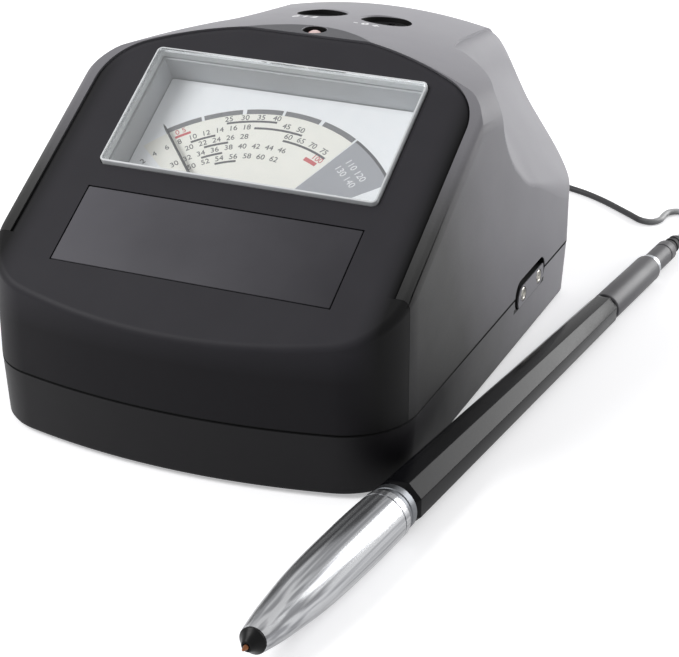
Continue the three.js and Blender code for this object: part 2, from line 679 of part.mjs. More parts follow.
function addBase(parent) {
  const chamferTop = FOOT_STANDOFF + BASE_CHAMFER;
  const outer = solid(loft([
    outlineRing(BASE_CHAMFER * 2, FOOT_STANDOFF),
    outlineRing(BASE_CHAMFER, chamferTop),
    outlineRing(0, SEAM_HEIGHT),
  ]));
  let base = outer.subtract(prismOfOutline(WALL, FLOOR_TOP, SEAM_HEIGHT + OVERRUN));
  const lipOuter = WALL + FIT_GAP;
  const lipFoot = prismOfOutline(WALL / 2, SEAM_HEIGHT - LIP_HEIGHT, SEAM_HEIGHT);
  const lipTop = prismOfOutline(lipOuter, SEAM_HEIGHT - LIP_HEIGHT, SEAM_HEIGHT + LIP_HEIGHT);
  const lipHollow = prismOfOutline(lipOuter + LIP_THICKNESS, -OVERRUN, SEAM_HEIGHT + 2 * OVERRUN);
  base = base.add(lipFoot.add(lipTop).subtract(lipHollow));
  for (const [x, y] of screwPlaces) {
    base = base.add(solid(rod(x, y, FLOOR_TOP - ROOTED, SEAM_HEIGHT, BOSS_RADIUS, 12)));
  }
  for (const [x, y] of screwPlaces) {
    const shank = rod(x, y, -OVERRUN, SEAM_HEIGHT + OVERRUN, SCREW_RADIUS + FIT_GAP, 8);
    const head = rod(x, y, -OVERRUN, SCREW_SEAT, SCREW_HEAD_RADIUS + FIT_GAP, 12);
    base = base.subtract(solid(shank)).subtract(solid(head));
  }
  for (const [x, y] of boardPlaces) {
    const post = solid(rod(x, y, FLOOR_TOP - ROOTED, BOARD_FOOT - FIT_GAP, POST_RADIUS, 8));
    const hole = solid(rod(x, y, FLOOR_TOP, BOARD_FOOT + OVERRUN, BOARD_SCREW_RADIUS + FIT_GAP, 8));
    base = base.add(post.subtract(hole));
  }
  for (const [x, y] of footPlaces) {
    const recess = rod(x, y, -OVERRUN, FOOT_STANDOFF + FOOT_RECESS, FOOT_RADIUS + FIT_GAP, 16);
    base = base.subtract(solid(recess));
  }
  const rearEnd = BODY_LENGTH + OVERRUN;
  const upper = box(-tongueHalf - FIT_GAP, tongueHalf + FIT_GAP, boxFront, rearEnd,
    TONGUE_FOOT - FIT_GAP, FLOOR_TOP);
  const lower = box(-doorHalf - FIT_GAP, doorHalf + FIT_GAP, boxFront, rearEnd, -OVERRUN, FLOOR_TOP);
  base = base.subtract(solid(upper)).subtract(solid(lower));
  const bayHole = box(-boxHalf - FIT_GAP, boxHalf + FIT_GAP, boxFront - FIT_GAP, boxRear + FIT_GAP,
    boxFoot - FIT_GAP, SEAM_HEIGHT + 2 * OVERRUN);
  base = base.subtract(solid(bayHole));
  base = base.subtract(solid(sideSlot(HALF_WIDTH - OVERRUN, HALF_WIDTH + OVERRUN, 0)));
  const flangeRoom = sideSlot(HALF_WIDTH - WALL - 2 * OVERRUN, HALF_WIDTH - WALL, TEST_FLANGE + FIT_GAP);
  base = base.subtract(solid(flangeRoom));
  piece(parent, "base_tray", base, CHARCOAL);

  screwPlaces.forEach(([x, y], i) => {
    const top = SCREW_SEAT - FIT_GAP;
    const screw = turned([
      [0, top - SCREW_HEAD_HEIGHT], [SCREW_HEAD_RADIUS, top - SCREW_HEAD_HEIGHT], [SCREW_HEAD_RADIUS, top],
      [SCREW_RADIUS, top], [SCREW_RADIUS, top + SCREW_LENGTH - SCREW_RADIUS], [0, top + SCREW_LENGTH],
    ], 8);
    piece(parent, "case_screw_" + (i + 1), screw, finish(0xb9bcc0, 0.35, 1)).position.set(x, y, 0);
  });
  footPlaces.forEach(([x, y], i) => {
    const top = FOOT_STANDOFF + FOOT_RECESS - FIT_GAP / 3;
    const foot = turned([
      [0, 0], [FOOT_RADIUS - FOOT_RECESS / 2, 0], [FOOT_RADIUS, FOOT_RECESS / 2], [FOOT_RADIUS, top], [0, top],
    ], 16);
    piece(parent, "rubber_foot_" + (i + 1), foot, finish(0x161617, 0.85)).position.set(x, y, 0);
  });
}

const CELL_JACKET = finish(0x3d4a57, 0.35);
const CONTACT_METAL = finish(0xc9c6bd, 0.3, 1);
const BOARD_GREEN = finish(0x2f6b45, 0.5);

function addBatteries(parent) {
  const shellTop = box(-boxHalf, boxHalf, boxFront, boxRear, boxFoot, boxTop);
  const rimHalf = boxHalf + DOOR_TONGUE;
  const rim = box(-rimHalf, rimHalf, boxFront - DOOR_TONGUE, boxRear, FLOOR_TOP + FIT_GAP,
    FLOOR_TOP + FIT_GAP + BATTERY_WALL);
  const hollow = box(-bayWidth / 2, bayWidth / 2, bayFront, bayRear, -OVERRUN, boxTop - BATTERY_WALL);
  piece(parent, "battery_box", solid(shellTop).add(solid(rim)).subtract(solid(hollow)), BLACK);

  const foot = FOOT_STANDOFF;
  const rear = BODY_LENGTH - 2 * BASE_CHAMFER;
  const front = boxFront + FIT_GAP;
  const plate = solid(box(-doorHalf, doorHalf, front, rear, foot, foot + DOOR_THICKNESS));
  const tongues = solid(box(-tongueHalf, tongueHalf, front, rear, TONGUE_FOOT, foot + DOOR_THICKNESS));
  let door = plate.add(tongues);
  for (const groove of [1, 2, 3]) {
    const y = rear - groove * DOOR_THICKNESS * 2;
    const depth = DOOR_THICKNESS / 4;
    const cut = box(-doorHalf / 2, doorHalf / 2, y, y + DOOR_THICKNESS, -OVERRUN, foot + depth);
    door = door.subtract(solid(cut));
  }
  piece(parent, "battery_door", door, CHARCOAL);

  const frontContact = bayFront + FIT_GAP;
  const cellFront = frontContact + CONTACT_THICKNESS + FIT_GAP;
  const nub = CELL_DIAMETER * cellNubShare;
  const halfCell = CELL_DIAMETER / 2;
  const contactHalf = bayWidth / 2 - FIT_GAP;
  const contactTop = cellAxis + halfCell / 2;
  const contactFoot = cellAxis - halfCell / 2;
  const frontPlate = box(-contactHalf, contactHalf, frontContact, frontContact + CONTACT_THICKNESS,
    contactFoot, contactTop);
  piece(parent, "battery_contact_front", frontPlate, CONTACT_METAL);
  const springTip = cellFront + CELL_LENGTH + FIT_GAP;
  const springFoot = springTip + SPRING_LENGTH;
  let rearPlate = solid(box(-contactHalf, contactHalf, springFoot - FIT_GAP,
    springFoot - FIT_GAP + CONTACT_THICKNESS, contactFoot, contactTop));
  for (let i = 0; i < CELL_COUNT; i++) {
    const x = (i - (CELL_COUNT - 1) / 2) * (CELL_DIAMETER + FIT_GAP);
    const cell = turnedAlongY([
      [0, cellFront], [nub, cellFront], [nub, cellFront + CELL_NUB_LENGTH], [halfCell, cellFront + CELL_NUB_LENGTH],
      [halfCell, cellFront + CELL_LENGTH], [0, cellFront + CELL_LENGTH],
    ], 14);
    piece(parent, "battery_cell_" + (i + 1), alongY(cell, x, cellAxis), CELL_JACKET);
    const spring = turnedAlongY([
      [0, springTip], [nub, springTip], [nub * 1.4, springFoot], [0, springFoot],
    ], 12);
    rearPlate = rearPlate.add(solid(alongY(spring, x, cellAxis)));
  }
  piece(parent, "battery_contact_rear", rearPlate, CONTACT_METAL);

  let board = solid(box(-BOARD_HALF, BOARD_HALF, BOARD_FRONT, BOARD_REAR, BOARD_FOOT,
    BOARD_FOOT + BOARD_THICKNESS));
  for (const [x, y] of boardPlaces) {
    board = board.subtract(solid(rod(x, y, 0, BOARD_FOOT + OVERRUN, BOARD_SCREW_RADIUS + FIT_GAP, 8)));
  }
  piece(parent, "main_board", board, BOARD_GREEN);
  boardPlaces.forEach(([x, y], i) => {
    const seat = BOARD_FOOT + BOARD_THICKNESS + FIT_GAP;
    const tip = FLOOR_TOP + FIT_GAP;
    const screw = turned([
      [0, tip], [BOARD_SCREW_RADIUS, tip + BOARD_SCREW_RADIUS], [BOARD_SCREW_RADIUS, seat],
      [POST_RADIUS, seat], [POST_RADIUS, seat + BOARD_THICKNESS], [0, seat + BOARD_THICKNESS],
    ], 8);
    piece(parent, "board_screw_" + (i + 1), screw, CONTACT_METAL).position.set(x, y, 0);
  });
}

function addMeter() {
  const half = WINDOW_WIDTH / 2;
  const lensShape = roundedRectangle(-half, half, windowFoot, windowTop, WINDOW_CORNER_RADIUS);
  const lensBlock = solid(extruded(lensShape, lensFoot, LENS_PROUD, 3));
  const lensHollow = box(-half + LENS_SKIRT, half - LENS_SKIRT, windowFoot + LENS_SKIRT,
    windowTop - LENS_SKIRT, lensFoot - OVERRUN, LENS_PROUD - LENS_TOP);
  piece(meter, "meter_lens", lensBlock.subtract(solid(lensHollow)), finish(0xf4f6f8, 0.05));

  const panel = box(-PANEL_WIDTH / 2, PANEL_WIDTH / 2, panelFoot, panelTop, -PANEL_THICKNESS, 0);
  piece(meter, "name_panel", panel, finish(0x46454a, 0.6));

  const shellBox = box(-caseOuter, caseOuter, caseFront, caseRear, caseFoot, caseTop);
  const upperRoom = box(-caseInner, caseInner, innerFoot, innerTop, ledge, OVERRUN);
  const cellarHalf = MAGNET_RADIUS + FIT_GAP;
  const cellar = box(-cellarHalf, cellarHalf, innerFoot, pivotS + cellarHalf, cellarFloor, OVERRUN);
  piece(meter, "meter_case", solid(shellBox).subtract(solid(upperRoom)).subtract(solid(cellar)),
    finish(0x8c8f91, 0.6));

  const dialHalf = caseInner - FIT_GAP;
  const dial = solid(box(-dialHalf, dialHalf, innerFoot + FIT_GAP, innerTop - FIT_GAP, dialFoot, -DIAL_DEPTH));
  const pivotHole = solid(rod(0, pivotS, dialFoot - OVERRUN, OVERRUN, NEEDLE_WIDTH * 3, 16));
  piece(meter, "dial_plate", dial.subtract(pivotHole), finish(0xebeae6, 0.7));

  const magnetTop = ledge - FIT_GAP;
  const magnetFoot = cellarFloor + FIT_GAP;
  const gapRadius = CORE_RADIUS + MAGNET_RADIUS * 0.27;
  const ring = solid(rod(0, pivotS, magnetFoot, magnetTop, MAGNET_RADIUS, 28));
  const ringHole = solid(rod(0, pivotS, magnetFoot - OVERRUN, OVERRUN, gapRadius, 28));
  piece(meter, "meter_magnet", ring.subtract(ringHole), finish(0x77797c, 0.45, 0.9));

  const coilTop = magnetTop;
  const coilFoot = magnetFoot;
  const wire = (coilTop - coilFoot) * 0.1;
  const coreTop = coilTop - wire - FIT_GAP;
  const coreFoot = coilFoot + wire + FIT_GAP;
  const armHalf = CORE_RADIUS * 0.3;
  const armReach = gapRadius - FIT_GAP;
  const core = solid(rod(0, pivotS, coreFoot, coreTop, CORE_RADIUS, 20));
  const arms = solid(box(-armHalf, armHalf, pivotS - armReach, pivotS + armReach, coreFoot, coreTop));
  piece(meter, "meter_core", core.add(arms), finish(0x9a9c9f, 0.4, 1));

  const needleZ = -DIAL_DEPTH + NEEDLE_LIFT;
  const hubRadius = NEEDLE_WIDTH * 2;
  const needleTop = needleZ + NEEDLE_THICKNESS;
  const bridgeFoot = needleTop + 2 * FIT_GAP;
  const bridgeTop = bridgeFoot + 2 * NEEDLE_THICKNESS;
  const bridgeReach = NEEDLE_TAIL + 2 * NEEDLE_WIDTH;
  const bridgeHalf = NEEDLE_WIDTH * 1.5;
  const bridgeOver = box(-bridgeReach, bridgeReach, pivotS - bridgeHalf, pivotS + bridgeHalf,
    bridgeFoot, bridgeTop);
  let bridge = solid(bridgeOver);
  for (const side of [-1, 1]) {
    const inner = side * (bridgeReach - 2 * NEEDLE_WIDTH);
    const outer = side * bridgeReach;
    bridge = bridge.add(solid(box(Math.min(inner, outer), Math.max(inner, outer), pivotS - bridgeHalf,
      pivotS + bridgeHalf, -DIAL_DEPTH + FIT_GAP, bridgeTop)));
  }
  piece(meter, "meter_bridge", bridge, finish(0xb58d3f, 0.35, 1));

  const rotor = new THREE.Group();
  rotor.position.set(0, pivotS, 0);
  rotor.rotation.z = NEEDLE_REST;
  meter.add(rotor);
  const blade = new THREE.Shape([
    new THREE.Vector2(-NEEDLE_WIDTH, -NEEDLE_TAIL), new THREE.Vector2(NEEDLE_WIDTH, -NEEDLE_TAIL),
    new THREE.Vector2(NEEDLE_WIDTH / 2, hubRadius), new THREE.Vector2(NEEDLE_WIDTH / 4, needleLength),
    new THREE.Vector2(-NEEDLE_WIDTH / 4, needleLength), new THREE.Vector2(-NEEDLE_WIDTH / 2, hubRadius),
  ]);
  const pivotEnd = coilTop - wire / 2;
  const needle = solid(extruded(blade, needleZ, needleTop))
    .add(solid(rod(0, 0, needleZ - NEEDLE_THICKNESS, needleTop, hubRadius, 16)))
    .add(solid(rod(0, 0, coilTop + FIT_GAP, needleTop, NEEDLE_WIDTH, 12)));
  piece(rotor, "meter_needle", needle, finish(0x2f2f31, 0.5));
  const coilReach = gapRadius - 2 * FIT_GAP;
  const coilWidth = CORE_RADIUS * 0.22;
  const coilInner = CORE_RADIUS + FIT_GAP;
  const frame = solid(box(-coilReach, coilReach, -coilWidth, coilWidth, coilFoot, coilTop));
  const frameHole = box(-coilInner - coilWidth / 2, coilInner + coilWidth / 2, -OVERRUN, OVERRUN,
    coilFoot + wire, pivotEnd - wire / 2);
  piece(rotor, "moving_coil", frame.subtract(solid(frameHole)), finish(0xa9572f, 0.4, 0.8));
}

function addControls(parent) {
  const names = ["power", "calibrate"];
  knobPlaces.forEach((x, i) => {
    const foot = -KNOB_SUNK - KNOB_HEIGHT;
    const tip = -WELL_DEPTH - BATTERY_WALL - SHAFT_LENGTH;
    const rim = KNOB_SUNK / 3;
    const body = turned([
      [0, tip], [SHAFT_RADIUS, tip], [SHAFT_RADIUS, foot], [KNOB_RADIUS, foot],
      [KNOB_RADIUS, -KNOB_SUNK - rim], [KNOB_RADIUS - rim, -KNOB_SUNK], [0, -KNOB_SUNK],
    ], 28);
    const slotHalf = KNOB_RADIUS * 0.13;
    const slot = box(-slotHalf, slotHalf, -KNOB_RADIUS * 0.75, KNOB_RADIUS * 0.75,
      -KNOB_SUNK - KNOB_HEIGHT * 0.3, OVERRUN);
    const knob = piece(controls, names[i] + "_knob", solid(body).subtract(solid(slot)), finish(0x18181a, 0.55));
    knob.position.x = x;
    const top = -WELL_DEPTH - BATTERY_WALL - FIT_GAP;
    const pot = solid(rod(0, 0, top - POT_HEIGHT, top, POT_RADIUS, 20));
    const bore = rod(0, 0, tip - FIT_GAP, OVERRUN, SHAFT_RADIUS + FIT_GAP, 16);
    const node = ["power_switch", "calibrate_potentiometer"][i];
    piece(controls, node, pot.subtract(solid(bore)), finish(0x8e8f92, 0.4, 0.6)).position.x = x;
  });
  const boardTop = -WELL_DEPTH - BATTERY_WALL - 2 * FIT_GAP - POT_HEIGHT;
  const halfBoard = KNOB_SPACING / 2 + POT_RADIUS;
  const board = box(-halfBoard, halfBoard, -POT_RADIUS, POT_RADIUS, boardTop - BOARD_THICKNESS, boardTop);
  piece(controls, "control_board", board, BOARD_GREEN);

  const lampTop = RIDGE_HEIGHT - LAMP_SUNK;
  const lampFoot = lampTop - LAMP_LENGTH;
  const lamp = turned([
    [0, lampFoot], [LAMP_RADIUS, lampFoot], [LAMP_RADIUS, lampTop - LAMP_RADIUS],
    [LAMP_RADIUS * 0.7, lampTop - LAMP_RADIUS * 0.3], [0, lampTop],
  ], 20);
  piece(parent, "ready_lamp", lamp, finish(0xe8c6c4, 0.25)).position.set(0, lampY, 0);
  const holderTop = RIDGE_HEIGHT - WALL - FIT_GAP;
  const holderRadius = LAMP_FROM_RIDGE - FIT_GAP;
  const bore = LAMP_RADIUS + FIT_GAP;
  const holder = turned([
    [bore, lampFoot + LAMP_RADIUS], [holderRadius, lampFoot + LAMP_RADIUS], [holderRadius, holderTop],
    [bore, holderTop], [bore, lampFoot + LAMP_RADIUS],
  ], 20);
  piece(parent, "lamp_holder", holder, BLACK).position.set(0, lampY, 0);
}

function addTestStation(parent) {
  const inner = HALF_WIDTH - WALL - FIT_GAP;
  const flange = sideSlot(inner - BATTERY_WALL, inner, TEST_FLANGE - FIT_GAP);
  const block = sideSlot(inner - BATTERY_WALL, HALF_WIDTH - FIT_GAP, -FIT_GAP);
  const reach = TEST_LENGTH;
  const slant = Math.atan2(TEST_DEPTH, TEST_HEIGHT);
  const wedge = box(0, reach, -reach, reach, -reach, reach);
  const plane = new THREE.Group();
  plane.position.set(HALF_WIDTH - FIT_GAP, testY, SEAM_HEIGHT - TEST_HEIGHT / 2);
  plane.rotation.y = -slant;
  let plate = solid(flange).add(solid(block)).subtract(placedIn(plane, wedge));
  const discY = [-TEST_DISC_SPACING / 2, TEST_DISC_SPACING / 2];
  const up = TEST_DISC_RADIUS * 1.5;
  const disc = (y, radius, from, to) => {
    const geometry = new THREE.CylinderGeometry(radius, radius, to - from, 16);
    return geometry.rotateZ(Math.PI / 2).translate((from + to) / 2, y, up);
  };
  for (const y of discY) {
    plate = plate.subtract(placedIn(plane, disc(y, TEST_DISC_RADIUS + FIT_GAP / 2, -TEST_DISC_THICKNESS, reach)));
  }
  piece(parent, "test_plate", plate, CHARCOAL);
  parent.add(plane);
  discY.forEach((y, i) => {
    const shape = disc(y, TEST_DISC_RADIUS, FIT_GAP / 2 - TEST_DISC_THICKNESS, 0);
    piece(plane, "test_disc_" + (i + 1), shape, finish(0xa8a9ab, 0.3, 1));
  });
}

function addSockets(parent) {
  const back = BODY_LENGTH + FIT_GAP;
  const flangeIn = REAR_WALL_IN - FIT_GAP;
  const jackEnd = back - JACK_LENGTH;
  const wall = solid(turnedAlongY([
    [0, jackEnd], [socketFlange, jackEnd], [socketFlange, flangeIn], [JACK_RADIUS, flangeIn],
    [JACK_RADIUS, back], [0, back],
  ], 20));
  const bore = solid(turnedAlongY([
    [0, jackEnd + WALL], [JACK_BORE_RADIUS, jackEnd + WALL], [JACK_BORE_RADIUS, back + OVERRUN],
    [0, back + OVERRUN],
  ], 20));
  const pin = solid(turnedAlongY([
    [0, jackEnd + WALL / 2], [JACK_PIN_RADIUS, jackEnd + WALL / 2], [JACK_PIN_RADIUS, back - WALL],
    [0, back - WALL / 2],
  ], 10));
  const jack = piece(parent, "dc_jack", wall.subtract(bore).add(pin), BLACK);
  jack.position.set(JACK_PLACE, 0, socketZ);

  const end = BODY_LENGTH + GLAND_LENGTH;
  const cordBore = CORD_RADIUS + FIT_GAP;
  const gland = turnedAlongY([
    [cordBore, flangeIn - WALL], [glandNeck + WALL, flangeIn - WALL], [glandNeck + WALL, flangeIn],
    [glandNeck, flangeIn], [glandNeck, BODY_LENGTH + FIT_GAP], [cordBore * 1.5, end], [cordBore, end],
    [cordBore, flangeIn - WALL],
  ], 20);
  piece(parent, "cord_gland", gland, finish(0x1a1a1c, 0.7)).position.set(glandX, 0, socketZ);
}

// Probe pen: its own frame has Y along the axis from the tip
const nosePlace = TIP_OUT + INSULATOR_LENGTH;
const noseWidestShare = 0.8;
const noseEnd = nosePlace + NOSE_LENGTH;
const barrelPlace = noseEnd + NOSE_RING_LENGTH + 2 * FIT_GAP;
const barrelEnd = barrelPlace + BARREL_LENGTH;
const collarPlace = barrelEnd + FIT_GAP;
const collarEnd = collarPlace + COLLAR_LENGTH;
const sleevePlace = collarEnd + TAIL_RING_LENGTH + 2 * FIT_GAP;
const sleeveEnd = sleevePlace + SLEEVE_LENGTH;
const stubPlace = sleeveEnd + FIT_GAP;
const stubEnd = stubPlace + STUB_LENGTH;
const noseWidest = nosePlace + NOSE_LENGTH * noseWidestShare;
const collarRearShare = 0.97;
const collarSoft = COLLAR_RADIUS * 0.15;

// The pen lies on its nose and on its collar's rear end, beside the housing's front corner.
const pen = new THREE.Group();
const collarHeel = collarEnd - 2 * collarSoft;
const penDrop = (NOSE_RADIUS - COLLAR_RADIUS * collarRearShare) / (collarHeel - noseWidest);
const penAside = FRONT_CORNER_RADIUS + BARREL_FRONT_RADIUS + PEN_CLEARANCE;
pen.position.set(
  cornerX + penAside * Math.cos(PEN_TURN) - PEN_TIP_AHEAD * Math.sin(PEN_TURN),
  cornerY - penAside * Math.sin(PEN_TURN) - PEN_TIP_AHEAD * Math.cos(PEN_TURN),
  NOSE_RADIUS + PEN_STANDOFF + penDrop * noseWidest,
);
pen.rotation.set(-Math.atan(penDrop), 0, -PEN_TURN, "ZXY");

function penTube(name, outer, bore, material, sides = 24) {
  const start = outer[0][1];
  const end = outer[outer.length - 1][1];
  piece(pen, name, turnedAlongY([[bore, start], ...outer, [bore, end], [bore, start]], sides), material);
}

function addPen(parent) {
  const chrome = finish(0xd8dadd, 0.12, 1);
  const gloss = finish(0x17171a, 0.2);
  const satin = finish(0x4a494e, 0.45);
  const wireBore = SLEEVE_RADIUS * 0.45;
  const guide = TIP_RADIUS + FIT_GAP / 2;

  const tipRear = nosePlace + 2 * INSULATOR_LENGTH;
  const tip = turnedAlongY([
    [0, 0], [TIP_RADIUS * 0.6, TIP_OUT * 0.6], [TIP_RADIUS, TIP_OUT], [TIP_RADIUS, tipRear],
    [TIP_RADIUS * 2, tipRear], [TIP_RADIUS * 2, tipRear + TIP_OUT], [0, tipRear + TIP_OUT],
  ], 12);
  piece(pen, "probe_tip", tip, finish(0xb4693d, 0.3, 1));
  const noseBore = TIP_RADIUS * 4;
  penTube("tip_insulator", [
    [TIP_RADIUS * 1.8, TIP_OUT], [NOSE_RADIUS * 0.48, nosePlace - FIT_GAP],
    [noseBore - FIT_GAP / 2, nosePlace - FIT_GAP], [noseBore - FIT_GAP / 2, tipRear - FIT_GAP],
  ], guide, finish(0x151517, 0.4), 20);
  const springStart = tipRear + TIP_OUT + TIP_TRAVEL + FIT_GAP;
  const springEnd = springStart + NOSE_RADIUS;
  penTube("tip_spring", [[TIP_RADIUS * 2, springStart], [TIP_RADIUS * 2, springEnd]], TIP_RADIUS,
    finish(0xaaadb0, 0.3, 1), 12);
  const noseShares = [[0.507, 0], [0.66, 0.1], [0.78, 0.21], [0.9, 0.35], [0.965, 0.5], [0.99, 0.66],
    [1, noseWidestShare], [0.985, 0.93], [0.97, 1]];
  const nose = noseShares.map(([r, along]) => [r * NOSE_RADIUS, nosePlace + along * NOSE_LENGTH]);
  penTube("chrome_nose", nose, noseBore, chrome, 24);
  const rodStart = springEnd + FIT_GAP;
  const rodEnd = barrelPlace + NOSE_LENGTH / 2;
  const rodRadius = noseBore - FIT_GAP;
  penTube("heater_rod", [[rodRadius, rodStart], [rodRadius, rodEnd]], TIP_RADIUS,
    finish(0xd9d5c8, 0.6), 16);
  const ringRadius = BARREL_FRONT_RADIUS * 0.95;
  penTube("nose_ring", [[ringRadius, noseEnd + FIT_GAP], [ringRadius, barrelPlace - FIT_GAP]], noseBore,
    finish(0x28282b, 0.3, 0.8), 24);

  const bevel = NOSE_RING_LENGTH / 2;
  const barrel = turnedAlongY([
    [noseBore, barrelPlace], [BARREL_FRONT_RADIUS - bevel / 2, barrelPlace],
    [BARREL_FRONT_RADIUS, barrelPlace + bevel], [BARREL_REAR_RADIUS, barrelEnd - bevel],
    [BARREL_REAR_RADIUS - bevel / 4, barrelEnd], [noseBore, barrelEnd], [noseBore, barrelPlace],
  ], 8);
  piece(pen, "probe_barrel", barrel.rotateY(Math.PI / 8), gloss);
  penTube("probe_collar", [
    [COLLAR_RADIUS - collarSoft, collarPlace], [COLLAR_RADIUS, collarPlace + collarSoft],
    [COLLAR_RADIUS * collarRearShare, collarHeel], [COLLAR_RADIUS - collarSoft, collarEnd],
  ], noseBore, satin, 24);
  const tailRing = SLEEVE_RADIUS + collarSoft / 2;
  penTube("tail_ring", [[tailRing, collarEnd + FIT_GAP], [tailRing, sleevePlace - FIT_GAP]], wireBore,
    finish(0xb5b7ba, 0.25, 1), 24);
  penTube("tail_sleeve", [
    [SLEEVE_RADIUS, sleevePlace], [SLEEVE_RADIUS, sleeveEnd - collarSoft], [SLEEVE_RADIUS - collarSoft, sleeveEnd],
  ], wireBore, satin, 20);
  const ribs = 3;
  const ribPitch = STUB_LENGTH / (2 * ribs);
  const stub = [];
  for (let i = 0; i < 2 * ribs; i++) {
    const taper = STUB_RADIUS * (1 - (0.25 * i) / (2 * ribs));
    const radius = i % 2 ? taper * 0.85 : taper;
    stub.push([radius, stubPlace + i * ribPitch], [radius, stubPlace + (i + 1) * ribPitch]);
  }
  penTube("tail_strain_relief", stub, CORD_RADIUS + FIT_GAP, finish(0x1c1c1e, 0.6), 16);
  const leadEnd = stubEnd - FIT_GAP;
  const lead = turnedAlongY([
    [0, rodEnd + FIT_GAP], [CORD_RADIUS, rodEnd + FIT_GAP], [CORD_RADIUS, leadEnd], [0, leadEnd],
  ], 8);
  piece(pen, "probe_lead", lead, finish(0x202022, 0.5));
  parent.add(pen);
}

// Cord: the route's points are chosen by hand, and the coil's turns come from a formula

function tubeOf(centres, sides) {
  const rings = [];
  const tangents = centres.map((_, i) => {
    const before = centres[Math.max(i - 1, 0)];
    const after = centres[Math.min(i + 1, centres.length - 1)];
    return after.clone().sub(before).normalize();
  });
  const side = new THREE.Vector3(0, 0, 1).cross(tangents[0]).normalize();
  centres.forEach((centre, i) => {
    side.addScaledVector(tangents[i], -side.dot(tangents[i])).normalize();
    const up = tangents[i].clone().cross(side);
    const ring = [];
    for (let k = 0; k < sides; k++) {
      const angle = (2 * Math.PI * k) / sides;
      ring.push(centre.clone()
        .addScaledVector(side, CORD_RADIUS * Math.cos(angle))
        .addScaledVector(up, CORD_RADIUS * Math.sin(angle)));
    }
    rings.push(ring);
  });
  const positions = rings.flat().flatMap((point) => point.toArray());
  const faces = [];
  for (let i = 0; i < rings.length - 1; i++) {
    for (let k = 0; k < sides; k++) {
      const a = i * sides + k;
      const b = i * sides + ((k + 1) % sides);
      faces.push(a, b, b + sides, a, b + sides, a + sides);
    }
  }
  const last = (rings.length - 1) * sides;
  for (let k = 1; k < sides - 1; k++) faces.push(0, k + 1, k, last, last + k, last + k + 1);
  return meshed(positions, faces);
}

// The coil lies in line with the gland, just past the place where the battery door comes free.
const coilCentre = new THREE.Vector2(
  glandX + COIL_OUTER_RADIUS,
  BODY_LENGTH + bayLength + COIL_OUTER_RADIUS + CORD_DIAMETER + COIL_CLEARANCE,
);
const coilStep = (2 * Math.PI) / 24;

// Centres of the coil's tube: in along the bench, up one layer over half a turn, and out again on top.
function coilCentres() {
  const climb = 0.5;
  const spiral = (COIL_TURNS - climb) / 2;
  const innerRadius = COIL_OUTER_RADIUS - spiral * COIL_PITCH;
  const count = Math.round((COIL_TURNS * 2 * Math.PI) / coilStep);
  const centres = [];
  for (let i = 0; i <= count; i++) {
    const turns = (COIL_TURNS * i) / count;
    const angle = Math.PI / 2 + turns * 2 * Math.PI;
    const climbed = THREE.MathUtils.clamp((turns - spiral) / climb, 0, 1);
    const past = Math.max(spiral - turns, turns - spiral - climb, 0);
    const drawnIn = (COIL_PITCH / 4) * Math.sin(Math.PI * climbed);
    const radius = innerRadius + past * COIL_PITCH - drawnIn;
    const height = CORD_RADIUS + climbed * COIL_PITCH;
    centres.push(new THREE.Vector3(
      coilCentre.x + radius * Math.cos(angle), coilCentre.y + radius * Math.sin(angle), height));
  }
  const first = centres[0].clone().setX(centres[0].x + CORD_DIAMETER);
  const lastCentre = centres[centres.length - 1];
  const last = lastCentre.clone().setY(lastCentre.y - CORD_DIAMETER);
  return [first, ...centres, last];
}

function leastGap(centres) {
  let least = Infinity;
  for (let i = 0; i < centres.length; i++) {
    for (let j = i + 12; j < centres.length; j++) least = Math.min(least, centres[i].distanceTo(centres[j]));
  }
  return least - CORD_DIAMETER;
}

// The free stretch from the pen to the coil, and the one from the coil to the gland: from the coil's end
// across, past the rear wall, and up.
const routeToProbe = [
  [80.7, 200, 3.4], [80.8, 207, 2.2], [80.2, 213.5, 1.3], [78.7, 218.7, 1.05], [76, 222.3, 1.05],
  [72.6, 223.4, 1.05], [69.9, 221.3, 1.05], [69.2, 217.6, 1.05], [69, 213.8, 1.05], [66.9, 210.8, 1.05],
  [63.4, 210.9, 1.05], [58.8, 214.2, 1.05], [54, 217.8, 1.05], [49.8, 220.9, 1.05], [45.6, 223.7, 1.05],
  [39.3, 227.2, 1.05], [33.3, 229.6, 1.05], [26.5, 232.2, 1.05], [19, 235.8, 1.05], [11, 240.3, 1.05],
  [2.5, 244.8, 1.05], [-6, 247.3, 1.05],
];
const routeToHousing = [
  [0, 66.5, 2], [0, 61, 1.25], [0, 53, 1.05], [0, 45.5, 1.2], [0, 39.5, 2.5], [0, 34.5, 5.5],
  [0, 30.5, 10.5], [0, 27, 16.5], [0, 23, 22.5], [0, 18.5, 26.8],
];

